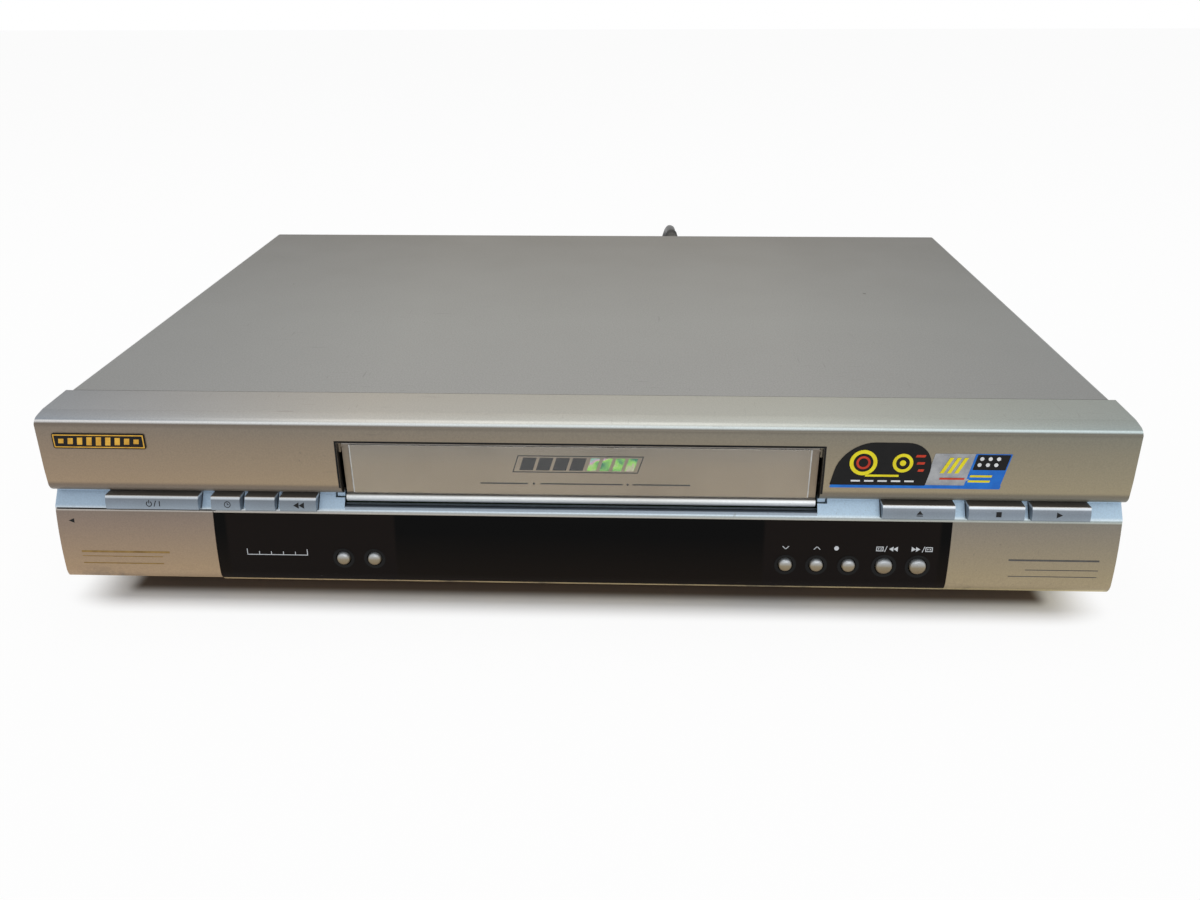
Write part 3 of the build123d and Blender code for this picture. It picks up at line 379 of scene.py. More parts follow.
def makeCoverPaint(p):
    tree, shader = newMaterial("coverPaint", Metallic=p["metallic"])
    drift = useGroup(tree, toneDrift, Tone=p["tone"], Second=p["second"], Scale=p["drift"])
    place = placeParts(tree)
    # painted shade along and across the cover, multiplied into its tone
    spans = ((place[1], low("top_cover").y, high("top_cover").y, "alongPaintedShade"),
             (place[0], low("top_cover").x, high("top_cover").x, "sidePaintedShade"))
    tone = drift["Tone"]
    for value, first, last, key in spans:
        share = spread(tree, value, first * mm, last * mm)
        tone = blendColour(tree, 1.0, tone, ramp(tree, share, p[key]), "MULTIPLY")
    silverCoat(tree, shader, tone, p)


makeCoverPaint(coverPaint)


# One inside a span of a coordinate, nothing outside it
def insideSpan(tree, value, first, last):
    over = sums(tree, "GREATER_THAN", value, first * mm)
    return times(tree, over, sums(tree, "LESS_THAN", value, last * mm))


# One inside a rectangle of the front, in x and z
def insideField(tree, place, f):
    across = insideSpan(tree, place[0], f["left"], f["right"])
    return times(tree, across, insideSpan(tree, place[2], f["foot"], f["top"]))


# The front's coat changes with height: champagne below and above, a blue-silver ledge, a grey nose. Much of that
# change is painted light: painted highlights on the window's lower lip, the flap's top edge, the ledge's lower edge
# and the front edge, painted reflection that makes the belly and the fascia lighter towards the bottom, and painted
# shade in the groove under the fascia and just under the front edge
frontPaint = {
    "bands": [
        # 9.4: painted highlight on the window's lower lip; 16.0 to 36.0: lighter towards the bottom, a painted
        #      reflection
        (9.4, (214, 194, 152)), (10.4, (172, 152, 126)), (16.0, (165, 147, 122)), (36.0, (137, 126, 117)),
        # 39.9: painted highlight on the flap's top edge; 41.0: painted highlight on the ledge's lower edge
        (39.5, (130, 122, 115)), (39.9, (196, 198, 198)), (40.5, (150, 158, 166)), (41.0, (226, 240, 255)),
        # 41.9 to 47.0: the blue-silver ledge; 48.4 to 52.0: darker, painted shade in the groove under the fascia
        (41.9, (180, 204, 230)), (47.0, (170, 194, 222)), (48.4, (120, 118, 114)), (52.0, (120, 110, 98)),
        # 53.2 to 76.5: fascia lighter towards the bottom, a painted reflection; 78.4: painted shade just under the
        #               front edge
        (53.2, (158, 143, 121)), (70.0, (140, 130, 116)), (76.5, (130, 124, 115)), (78.4, (104, 98, 91)),
        # 78.75 to 79.15: painted highlight on the front edge; 79.4 to 81.4: nose lighter towards that edge, a
        #                 painted highlight
        (78.75, (214, 224, 234)), (79.15, (218, 228, 238)), (79.4, (186, 189, 190)), (81.4, (162, 160, 155)),
    ],
    # painted shade: the nose's top band darker towards both ends, and darker and bluer at the left
    "crown": {"foot": 79.3, "shade": [(0.0, (190, 205, 224)), (0.3, (255, 255, 255)), (0.7, (255, 255, 255)),
                                      (1.0, (214, 219, 224))]},
    # painted shadow: dark lines in the gaps beside the doorway and between the flap and the ledge
    "shadowLines": [
        {"left": -95.66, "right": -95.54, "foot": 42.0, "top": 71.4, "tone": (10, 10, 11)},
        {"left": 94.84, "right": 94.96, "foot": 42.0, "top": 71.4, "tone": (10, 10, 11)},
        {"left": -214.4, "right": -148.6, "foot": 40.2, "top": 40.9, "tone": (46, 44, 43)},
    ],
    # painted shade: the doorway's step under the door darkens towards the back
    "step": {
        "left": -95.5, "right": 94.8, "foot": 41.4, "top": 42.6, "front": 3.5, "back": 7.0,
        "shadeTones": [(0.0, (160, 174, 188)), (0.25, (140, 152, 164)), (0.6, (92, 102, 114)), (1.0, (24, 25, 27))],
    },
    "leftTint": (255, 243, 233), "rightTint": (246, 252, 242),
    "ledge": {"foot": 40.9, "top": 47.8, "left": (232, 232, 228), "right": (253, 255, 248)},
    "flake": 0.06, "flakeScale": 1700.0, "rub": 0.35, "rubScale": 60.0, "rubTone": (96, 88, 80),
    "gloss": 0.4, "change": 0.06, "depth": 0.02, "metallic": 0.35,
    "specks": 0.12, "speckScale": 60.0, "speckSize": 0.05, "speckTone": (78, 70, 62),
    "grimeTone": (70, 66, 62), "grimeFoot": 9.0, "grimeTop": 16.0, "grime": 0.85, "grimeScale": 42.0,
}


def makeFrontPaint(p):
    tree, shader = newMaterial("frontPaint", Metallic=p["metallic"])
    place = placeParts(tree)
    top = cadHigh.z
    level = sums(tree, "DIVIDE", place[2], top)
    bands = ramp(tree, level, [(z * mm / top, shade) for z, shade in p["bands"]])
    across = spread(tree, place[0], cadLow.x, cadHigh.x)
    tint = blendColour(tree, across, p["leftTint"], p["rightTint"])
    ledge = p["ledge"]
    ledgeTint = blendColour(tree, across, ledge["left"], ledge["right"])
    tint = blendColour(tree, insideSpan(tree, place[2], ledge["foot"], ledge["top"]), tint, ledgeTint)
    tinted = blendColour(tree, 1.0, bands, tint, "MULTIPLY")
    # painted shade: the nose's top band darker towards both ends
    crowned = blendColour(tree, 1.0, tinted, ramp(tree, across, p["crown"]["shade"]), "MULTIPLY")
    onCrown = sums(tree, "GREATER_THAN", place[2], p["crown"]["foot"] * mm)
    tinted = blendColour(tree, onCrown, tinted, crowned)
    # painted shadow lines in the gaps
    for line in p["shadowLines"]:
        tinted = blendColour(tree, insideField(tree, place, line), tinted, line["tone"])
    # painted shade on the doorway's step, darker towards the back
    step = p["step"]
    face = low("front_panel").y
    deep = spread(tree, place[1], (face + step["front"]) * mm, (face + step["back"]) * mm)
    tinted = blendColour(tree, insideField(tree, place, step), tinted, ramp(tree, deep, step["shadeTones"]))
    smear = noise(tree, placeOf(tree), p["grimeScale"], 5.0, Roughness=0.7)[0]
    sill = spread(tree, place[2], cadLow.z + p["grimeFoot"] * mm, cadLow.z + p["grimeTop"] * mm, 1.0, 0.0)
    patches = spread(tree, smear, 0.51, 0.68, 0.0, p["grime"])
    grimy = blendColour(tree, times(tree, sill, patches), tinted, p["grimeTone"])
    silverCoat(tree, shader, grimy, p)


makeFrontPaint(frontPaint)


# Keys and door leaf: the same coat in tones that change with height on each piece; most of these tones are painted
# light
keyPaint = {
    # ledge keys: face lighter towards the foot, with painted shade at the foot itself, a painted highlight along the
    # top front edge at 46.4 to 46.9, and painted shade on the top face
    "bands": [
        (41.4, (92, 100, 110)), (42.0, (150, 163, 176)), (44.0, (134, 146, 159)), (46.0, (120, 129, 140)),
        (46.4, (196, 206, 216)), (46.9, (222, 230, 238)), (47.2, (168, 163, 157)), (47.3, (124, 118, 112)),
    ],
    "flake": 0.05, "flakeScale": 2000.0, "rub": 0.3,
    "rubScale": 70.0, "rubTone": (98, 104, 110), "gloss": 0.34, "change": 0.06, "depth": 0.015, "metallic": 0.4,
}
roundKeyPaint = {
    # round keys: painted reflection, warm and darker below, a light cool band at 22.8 and darker again at the top
    "bands": [(17.0, (116, 100, 78)), (18.6, (134, 116, 88)), (20.6, (148, 136, 112)), (22.8, (192, 198, 204)),
              (24.2, (140, 146, 154))],
    "flake": 0.04, "flakeScale": 2200.0, "rub": 0.2,
    "rubScale": 90.0, "rubTone": (120, 118, 112), "gloss": 0.3, "change": 0.05, "depth": 0.012, "metallic": 0.45,
}
doorPaint = {
    # door leaf: painted highlight on the bottom bar from 44.6 to 46.9, painted shade in the line above it at 47.7,
    # face lighter towards the bottom as a painted reflection, and a painted highlight at the top edge at 69.8
    "bands": [
        (43.9, (128, 134, 140)), (44.6, (186, 193, 200)), (46.0, (210, 216, 220)), (46.9, (232, 236, 238)),
        (47.4, (150, 150, 148)), (47.7, (96, 92, 86)), (48.3, (153, 137, 115)), (60.0, (147, 132, 112)),
        (69.2, (133, 123, 110)), (69.8, (176, 174, 172)),
    ],
    "flake": 0.05, "flakeScale": 1700.0, "rub": 0.25,
    "rubScale": 60.0, "rubTone": (104, 98, 92), "gloss": 0.38, "change": 0.05, "depth": 0.015, "metallic": 0.35,
}
keyDrift = {"faded": (232, 230, 226), "scale": 20.0}


def makeBanded(name, p):
    tree, shader = newMaterial(name, Metallic=p["metallic"])
    place = placeParts(tree)
    foot, top = p["bands"][0][0], p["bands"][-1][0]
    share = spread(tree, place[2], foot * mm, top * mm)
    bands = ramp(tree, share, [((z - foot) / (top - foot), shade) for z, shade in p["bands"]])
    faded = blendColour(tree, 1.0, bands, keyDrift["faded"], "MULTIPLY")
    drift = useGroup(tree, toneDrift, Tone=bands, Second=faded, Scale=keyDrift["scale"])
    silverCoat(tree, shader, drift["Tone"], p)


for name, values in (("keyPaint", keyPaint), ("roundKeyPaint", roundKeyPaint), ("doorPaint", doorPaint)):
    makeBanded(name, values)


# Smoked acrylic, near black, warm brown towards its foot as a painted reflection, with two slightly lighter printed
# fields behind it and fine wiping marks
smokedWindow = {
    "dark": (8, 8, 8), "foot": (26, 20, 15), "field": (24, 19, 17), "fields": [(-145.5, -75.0), (73.6, 145.0)],
    "fieldEdge": 1.2, "gloss": 0.1, "wiped": 0.12, "specular": 0.05,
}


def makeSmokedWindow(p):
    tree, shader = newMaterial("smokedWindow", Specular_IOR_Level=p["specular"])
    place = placeParts(tree)
    foot, head = low("display_window").z * mm, high("display_window").z * mm
    # painted reflection: warm brown towards the foot
    fall = ramp(tree, spread(tree, place[2], foot, head), [(0.0, p["foot"]), (0.75, p["dark"])])
    inField = 0.0
    for left, right in p["fields"]:
        rise = spread(tree, place[0], left * mm, (left + p["fieldEdge"]) * mm)
        drop = spread(tree, place[0], (right - p["fieldEdge"]) * mm, right * mm, 1.0, 0.0)
        inField = sums(tree, "ADD", times(tree, rise, drop), inField, clamp=True)
    wipe = noise(tree, placeOf(tree), 90.0, 4.0)[0]
    rough = spread(tree, wipe, 0.4, 0.75, p["gloss"], p["gloss"] + p["wiped"])
    wire(tree, shader, blendColour(tree, inField, fall, p["field"]), rough)


makeSmokedWindow(smokedWindow)


# Clear panel of the cassette door
def makeClearPanel():
    tree, shader = newMaterial(
        "clearPanel", Base_Color=(0.97, 0.98, 0.97, 1), Transmission_Weight=1.0, IOR=1.46, Specular_IOR_Level=0.2
    )
    haze = noise(tree, placeOf(tree), 70.0, 4.0)[0]
    tree.links.new(spread(tree, haze, 0.45, 0.8, 0.02, 0.12), shader.inputs["Roughness"])
    through = node(tree, "BsdfTransparent", {"Color": (0.93, 0.94, 0.93, 1)})
    shadow = node(tree, "LightPath").outputs["Is Shadow Ray"]
    both = node(tree, "MixShader", {0: shadow, 1: shader.outputs[0], 2: through.outputs[0]})
    tree.links.new(both.outputs[0], tree.nodes["Material Output"].inputs["Surface"])


makeClearPanel()


# Zinc plated sheet
zincSteel = {
    "tone": (176, 177, 174), "second": (160, 162, 161), "scale": 420.0, "metallic": 0.85, "dust": 0.15,
    "bump": 0.3, "depth": 0.02,
}


def makeZinc(p):
    tree, shader = newMaterial("zincSteel", Metallic=p["metallic"])
    zinc = useGroup(tree, zincSpangle, Tone=p["tone"], Second=p["second"], Scale=p["scale"])
    dusty = useGroup(tree, settledDust, Tone=zinc["Tone"], Amount=p["dust"])
    wire(tree, shader, dusty["Tone"], zinc["Roughness"])
    bump(tree, shader, zinc["Height"], p["bump"], p["depth"])


makeZinc(zincSteel)


# Circuit board: resist over copper tracks, seen as slightly lighter lines
boardLook = {
    "resist": (58, 84, 52), "track": (78, 108, 66), "pitch": 260.0, "line": 0.06, "stagger": 0.37,
    "drift": 60.0, "dust": 0.25, "grain": 900.0, "gloss": 0.4, "change": 0.1, "bump": 0.4, "depth": 0.04,
}


def makeBoard(p):
    tree, shader = newMaterial("circuitBoard")
    rows = {"Vector": placeOf(tree), "Color1": black, "Color2": white, "Scale": p["pitch"], "Mortar Size": p["line"]}
    cells = node(tree, "TexBrick", rows, offset=p["stagger"])
    tracks = blendColour(tree, cells.outputs["Fac"], p["track"], p["resist"])
    drift = useGroup(tree, toneDrift, Tone=tracks, Second=p["resist"], Scale=p["drift"])
    dusty = useGroup(tree, settledDust, Tone=drift["Tone"], Amount=p["dust"])
    grain = useGroup(tree, mouldGrain, Scale=p["grain"], Gloss=p["gloss"], Change=p["change"])
    wire(tree, shader, dusty["Tone"], grain["Roughness"])
    bump(tree, shader, cells.outputs["Fac"], p["bump"], p["depth"])


makeBoard(boardLook)


# Printing inks and label films, and two films of painted light: tone, second tone, gloss and metallic, each slightly
# uneven
inks = {
    "blackInk": ((14, 14, 15), (24, 24, 25), 0.5, 0.0),
    "greyInk": ((92, 90, 88), (80, 78, 76), 0.45, 0.0),
    "whiteInk": ((214, 218, 222), (190, 194, 198), 0.5, 0.0),
    "goldInk": ((150, 122, 72), (126, 100, 58), 0.4, 0.3),
    "goldFoil": ((226, 178, 74), (198, 148, 56), 0.32, 0.5),
    # painted shade: near-black for the rings round the round buttons and the line round the doorway
    "shadeBlack": ((3, 3, 3), (7, 6, 6), 0.6, 0.0),
    # painted highlight: light grey for the glints along the clear panel's edges
    "edgeGlint": ((206, 206, 208), (186, 184, 182), 0.3, 0.2),
    "labelBlack": ((8, 8, 9), (16, 15, 15), 0.34, 0.0),
    "labelYellow": ((238, 226, 40), (224, 206, 34), 0.3, 0.0),
    "labelRed": ((206, 66, 40), (180, 50, 34), 0.3, 0.0),
    "labelBlue": ((34, 120, 214), (30, 104, 196), 0.3, 0.0),
    "labelSilver": ((168, 170, 172), (140, 142, 146), 0.3, 0.5),
    "labelWhite": ((232, 234, 236), (214, 216, 218), 0.3, 0.0),
}


def makeInk(name, tone, second, gloss, metallic):
    tree, shader = newMaterial(name, Metallic=metallic, Specular_IOR_Level=0.2)
    drift = useGroup(tree, toneDrift, Tone=tone, Second=second, Scale=240.0)
    grain = useGroup(tree, mouldGrain, Scale=2600.0, Gloss=gloss, Change=0.06)
    wire(tree, shader, drift["Tone"], grain["Roughness"])


for name, values in inks.items():
    makeInk(name, *values)


# Foil that shifts between green and pink along its length
def makeShimmer():
    tree, shader = newMaterial("shimmerFoil", Metallic=0.6, Roughness=0.25)
    cloud = noise(tree, placeOf(tree), 120.0, 2.0, Distortion=0.6)[0]
    stops = [(0.3, (44, 128, 96)), (0.45, (150, 214, 92)), (0.56, (210, 150, 190)), (0.7, (90, 200, 160))]
    tree.links.new(ramp(tree, cloud, stops), shader.inputs["Base Color"])


makeShimmer()

# Which finish each part of the frame takes
dressed = {
    "frontPaint": ["front_panel", "front_flap"],
    "coverPaint": ["top_cover"],
    "doorPaint": ["cassette_door"],
    "keyPaint": [
        "power_button", "timer_button", "search_button", "fast_rewind_button", "eject_button", "stop_button",
        "play_button",
    ],
    "roundKeyPaint": [
        "tape_mode_button", "picture_mode_button", "channel_down_button", "channel_up_button", "record_button",
        "rewind_button", "forward_button",
    ],
    "smokedWindow": ["display_window"],
    "zincSteel": ["bottom_chassis", "rear_panel", "deck_chassis", "carriage_frame", "cassette_holder"],
    "tinnedSteel": ["tuner_can"],
    "circuitBoard": ["main_board", "power_board", "front_board"],
    "blackPlastic": ["scart_sockets", "rear_jacks", "front_jacks", "key_switches", "carriage_sled", "tape_heads",
                     "supply_guide", "take_up_guide"],
    "blackRubber": ["feet", "drive_belt", "pinch_roller"],
    "screwBlack": ["cover_screws"],
    "coreIron": ["transformer"],
    "capacitorSleeve": ["capacitors"],
    "displayGlass": ["display_module"],
    "aluminium": ["head_drum", "drum_base", "loading_motor"],
    "shaftSteel": ["capstan", "guide_posts", "pinch_arm"],
    "brass": ["capstan_stator"],
    "whitePlastic": ["mode_gear", "loading_pinion", "supply_reel", "take_up_reel", "clutch_pulley"],
}
for finish, names in dressed.items():
    for name in names:
        nodes[name].data.materials.clear()
        nodes[name].data.materials.append(made[finish])
print("materials made and", sum(len(names) for names in dressed.values()), "parts dressed")


# Piece helpers: shapes are drawn in millimetres and scaled to metres as they are finished

def finishPiece(name, bm, finish, body, smooth=True, facing=None):
    if facing:
        turned = [face for face in bm.faces if face.normal.dot(Vector(facing)) < 0]
        bmesh.ops.reverse_faces(bm, faces=turned)
    bmesh.ops.scale(bm, vec=(mm, mm, mm), verts=bm.verts)
    mesh = bpy.data.meshes.new(name)
    bm.to_mesh(mesh)
    bm.free()
    for face in mesh.polygons:
        face.use_smooth = smooth
    mesh.materials.append(made[finish])
    piece = addObject(name, mesh)
    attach(piece, body)
    return piece


def closed(bm):
    bmesh.ops.remove_doubles(bm, verts=bm.verts, dist=1e-4)
    bmesh.ops.recalc_face_normals(bm, faces=bm.faces)


def softEdges(bm, edges, size, segments=3):
    bmesh.ops.bevel(bm, geom=list(edges), offset=size, segments=segments, affect="EDGES", profile=0.5, material=-1)


# A box between two corners
def block(bm, first, last):
    verts = bmesh.ops.create_cube(bm, size=1.0)["verts"]
    bmesh.ops.scale(bm, vec=last - first, verts=verts)
    bmesh.ops.translate(bm, vec=(first + last) / 2, verts=verts)


# A line of points swept once round an axis
def sweep(bm, points, hub, axis, steps, loop=False):
    chain = [bm.verts.new(point) for point in points]
    edges = [bm.edges.new(pair) for pair in zip(chain, chain[1:] + (chain[:1] if loop else []))]
    bmesh.ops.spin(bm, geom=chain + edges, cent=hub, axis=axis, angle=2 * pi, steps=steps, use_merge=True)


# The front faces of some parts, for laying prints and labels on
def skinOf(*names):
    bm = bmesh.new()
    for name in names:
        bm.from_mesh(nodes[name].data)
    bmesh.ops.scale(bm, vec=(1 / mm, 1 / mm, 1 / mm), verts=bm.verts)
    return BVHTree.FromBMesh(bm)


def drape(bm, skin, lift, step):
    heights = [vert.co.z for vert in bm.verts]
    cut = min(heights) + step
    while cut < max(heights) - 0.2 * step:
        everything = bm.verts[:] + bm.edges[:] + bm.faces[:]
        bmesh.ops.bisect_plane(bm, geom=everything, dist=1e-4, plane_co=(0, 0, cut), plane_no=(0, 0, 1))
        cut += step
    for vert in bm.verts:
        hit = skin.ray_cast(Vector((vert.co.x, -400.0, vert.co.z)), Vector((0, 1, 0)))[0]
        vert.co.y += hit.y - lift


# Flat shapes drawn on the front: x and z, then width and height or radius and line, then lean or angles
def patch(bm, x, z, wide, tall, lean=0.0):
    corners = bmesh.ops.create_grid(bm, x_segments=1, y_segments=1, size=0.5)["verts"]
    for vert in corners:
        across, up = vert.co.x, vert.co.y
        vert.co = Vector((x + across * wide + up * tall * lean, 0, z + up * tall))
    return corners


def arrowHead(bm, x, z, wide, tall, way):
    ahead, half = Vector((way[0], 0, way[1])), Vector((-way[1], 0, way[0]))
    span = wide if way[0] else tall
    base = tall if way[0] else wide
    centre = Vector((x, 0, z))
    tip = bm.verts.new(centre + ahead * span / 2)
    left = bm.verts.new(centre - ahead * span / 2 + half * base / 2)
    right = bm.verts.new(centre - ahead * span / 2 - half * base / 2)
    bm.faces.new((tip, left, right))


def arc(bm, x, z, radius, line, start=0.0, turn=360.0, steps=28):
    inner, outer = radius - line / 2, radius + line / 2
    way = Vector((cos(radians(start)), 0, sin(radians(start))))
    ends = [bm.verts.new(Vector((x, 0, z)) + way * reach) for reach in (inner, outer)]
    edge = bm.edges.new(ends)
    bmesh.ops.spin(
        bm, geom=[*ends, edge], cent=(x, 0, z), axis=(0, -1, 0), angle=radians(turn), steps=steps,
        use_merge=turn >= 360.0,
    )


def disc(bm, x, z, radius, steps=28):
    verts = bmesh.ops.create_circle(bm, cap_ends=True, segments=steps, radius=radius)["verts"]
    for vert in verts:
        vert.co = Vector((x + vert.co.x, 0, z + vert.co.y))


def frameLine(bm, x, z, wide, tall, line, lean=0.0):
    for side in (-1, 1):
        patch(bm, x + side * (wide - line) / 2, z, line, tall, lean)
        patch(bm, x + side * 0.5 * lean * (tall - line), z + side * (tall - line) / 2, wide - 2 * line, line, lean)


def doubleArrow(bm, x, z, way, size):
    for shift in (-0.5, 0.5):
        arrowHead(bm, x + shift * size, z, size, size * 1.2, (way, 0))


def chevron(bm, x, z, way):
    for side in (-1, 1):
        patch(bm, x + side * 0.62, z, 0.42, 1.3, -side * way * 0.95)


frontSkin = skinOf("front_panel", "front_flap", "display_window")
windowSkin, flapSkin, doorSkin = skinOf("display_window"), skinOf("front_flap"), skinOf("cassette_door")
inkLift = 0.04


# Each mark is one of the shapes above and its values
def printOn(name, marks, finish, skin, body="casing", step=2.0, lift=inkLift):
    bm = bmesh.new()
    for shape, *values in marks:
        shape(bm, *values)
    bm.normal_update()
    drape(bm, skin, lift, step)
    bm.normal_update()
    return finishPiece(name, bm, finish, body, smooth=False, facing=(0, -1, 0))


# Icons on the ledge keys, each riding on its own key
iconZ = 44.2
keyMiddle = {name: middle(name).x for name in dressed["keyPaint"]}
keyIcons = {
    "power": [
        (arc, -174.6, iconZ - 0.1, 1.05, 0.36, 120.0, 300.0, 20), (patch, -174.6, iconZ + 0.8, 0.36, 1.3),
        (patch, -172.2, iconZ, 0.36, 2.5, 0.35), (patch, -170.3, iconZ, 0.36, 2.2),
    ],
    "timer": [
        (arc, keyMiddle["timer_button"] + 0.8, iconZ, 1.2, 0.3, 0.0, 360.0, 24),
        (patch, keyMiddle["timer_button"] + 0.8, iconZ + 0.3, 0.3, 0.9),
        (patch, keyMiddle["timer_button"] + 1.1, iconZ, 0.6, 0.3),
    ],
    "fast_rewind": [(doubleArrow, keyMiddle["fast_rewind_button"] + 0.4, iconZ, -1, 2.2)],
    "eject": [
        (arrowHead, keyMiddle["eject_button"] + 0.4, iconZ + 0.35, 2.6, 1.6, (0, 1)),
        (patch, keyMiddle["eject_button"] + 0.4, iconZ - 0.95, 2.5, 0.4),
    ],
    "stop": [(patch, keyMiddle["stop_button"] + 0.8, iconZ, 2.1, 2.1)],
    "play": [(arrowHead, keyMiddle["play_button"] - 0.7, iconZ, 2.4, 2.4, (1, 0))],
}
for key, marks in keyIcons.items():
    button = key + "_button"
    printOn(key + "Icon", marks, "blackInk", skinOf(button), button, step=0.6)


# Symbols printed on the window above the round buttons, a tick scale, and near-black rings of painted shade round
# the buttons where they sit in their holes
windowIcons = {"z": 28.0, "line": 0.34, "dot": 0.3, "scaleZ": 21.6, "ticks": (2.6, 1.5, 1.5, 1.5, 1.5, 2.6)}
shadeRings = {"reach": 3.75, "wideReach": 4.4, "line": 1.3, "wide": ("rewind_button", "forward_button")}


def windMarks(key, way, box, slash, arrows):
    x, z, dot = middle(key).x, windowIcons["z"], windowIcons["dot"]
    return [
        (frameLine, x + box, z, 2.9, 2.0, windowIcons["line"]), (disc, x + box - 0.5, z, dot, 12),
        (disc, x + box + 0.5, z, dot, 12), (patch, x + slash, z, 0.3, 2.5, 0.35),
        (doubleArrow, x + arrows, z, way, 1.75),
    ]


def shadeRingMark(key):
    reach = shadeRings["wideReach" if key in shadeRings["wide"] else "reach"]
    return (arc, middle(key).x, middle(key).z, reach, shadeRings["line"], 0.0, 360.0, 36)


def windowMarks(w):
    z, scaleZ = w["z"], w["scaleZ"]
    ticks = [(patch, -137.25 + 4.98 * step, scaleZ + tall / 2, 0.3, tall) for step, tall in enumerate(w["ticks"])]
    return {
        "channelIcons": [
            (chevron, middle("channel_down_button").x - 0.2, z, -1),
            (chevron, middle("channel_up_button").x - 0.1, z, 1),
        ],
        "recordIcon": [(disc, 103.4, z, 0.95)],
        "windIcons": windMarks("rewind_button", -1, -2.2, 0.2, 3.2) + windMarks("forward_button", 1, 3.9, 1.7, -1.3),
        "tapeScale": [(patch, -124.8, scaleZ, 25.2, 0.3)] + ticks,
    }


# painted shade: a near-black ring round each round button
shadeRingMarks = [shadeRingMark(key) for key in dressed["roundKeyPaint"]]
printOn("buttonShadeRings", shadeRingMarks, "shadeBlack", windowSkin, lift=0.2)
for name, marks in windowMarks(windowIcons).items():
    printOn(name, marks, "whiteInk", windowSkin)
print("icons printed")


# Small stops that close the groove's ends beside the doorway
grooveStops = {"spans": ((-98.9, -95.72), (95.02, 98.2)), "y": (-144.5, -142.2), "z": (45.4, 48.6), "soft": 0.2}


def makeGrooveStops(g):
    bm = bmesh.new()
    for span in g["spans"]:
        block(bm, *(Vector(corner) for corner in zip(span, g["y"], g["z"])))
    softEdges(bm, bm.edges, g["soft"], 2)
    finishPiece("grooveStops", bm, "frontPaint", "casing", smooth=False)


makeGrooveStops(grooveStops)

# The doorway's painted shadow line in the gap above and beside the door, the flap's pull mark, and printed rules on
# the flap and the right end
frontMarks = {
    "doorwayShadowLine": ("shadeBlack", skinOf("front_panel"), "casing", [
        (patch, -0.35, 71.7, 192.3, 0.8), (patch, -96.1, 61.45, 0.8, 19.7), (patch, 95.4, 61.45, 0.8, 19.7),
    ]),
    "flapMark": ("blackInk", flapSkin, "front_flap", [(arrowHead, -209.0, 35.4, 2.4, 1.9, (-1, 0))]),
    "goldRules": ("goldInk", flapSkin, "front_flap", [
        (patch, -188.4, 21.9, 37.0, 0.9), (patch, -190.0, 19.8, 33.8, 0.35), (patch, -190.0, 16.6, 33.8, 0.5),
    ]),
    "greyRules": ("greyInk", frontSkin, "casing", [
        (patch, 190.4, 23.9, 36.0, 0.8), (patch, 194.0, 19.6, 29.0, 0.35), (patch, 190.8, 16.6, 35.4, 0.35),
    ]),
}
for name, (finish, skin, body, marks) in frontMarks.items():
    printOn(name, marks, finish, skin, body)


# Thin labels and plates: a rounded outline given thickness, then laid on the front
def plate(bm, x, z, wide, tall, lean, corner, thick, dome=0.0):
    corners = patch(bm, x, z, wide, tall, lean)
    foot = [vert for vert in corners if vert.co.z < z]
    head = [vert for vert in corners if vert.co.z > z]
    for points, size, steps in ((foot, corner, 4), (head, dome or corner, 10 if dome else 4)):
        bmesh.ops.bevel(bm, geom=points, offset=size, segments=steps, affect="VERTICES", profile=0.5, material=-1)
    grown = bmesh.ops.extrude_face_region(bm, geom=bm.faces[:])["geom"]
    for part in grown:
        if isinstance(part, bmesh.types.BMVert):
            part.co.y -= thick


def label(name, x, z, wide, tall, lean, corner, thick, finish, lift=0.0, dome=0.0):
    bm = bmesh.new()
    plate(bm, x, z, wide, tall, lean, corner, thick, dome)
    drape(bm, frontSkin, lift, 2.4)
    closed(bm)
    return finishPiece(name, bm, finish, "casing", smooth=False)


# Badge plate at the left: a plain black plate with a gold rim and gold bars
badge = {
    "x": -190.1, "z": 71.1, "wide": 37.2, "tall": 6.4, "corner": 0.8, "thick": 0.5, "rim": 0.45, "inset": 0.9,
    "bars": 9, "margin": 7.0, "barWide": 2.1, "barTall": 1.6, "barRise": 1.9, "lean": 0.18,
}


def makeBadge(b):
    x, z, wide, tall = b["x"], b["z"], b["wide"], b["tall"]
    label("badgePlate", x, z, wide, tall, 0.0, b["corner"], b["thick"], "labelBlack")
    marks = [(frameLine, x, z, wide - b["inset"], tall - b["inset"], b["rim"])]
    pitch = (wide - b["margin"]) / (b["bars"] - 1)
    for step in range(b["bars"]):
        barTall = b["barTall"] + b["barRise"] * sin(pi * (step + 0.5) / b["bars"])
        marks.append((patch, x + (step - (b["bars"] - 1) / 2) * pitch, z, b["barWide"], barTall, b["lean"]))
    printOn("badgeBars", marks, "goldFoil", frontSkin, lift=b["thick"] + inkLift)


makeBadge(badge)

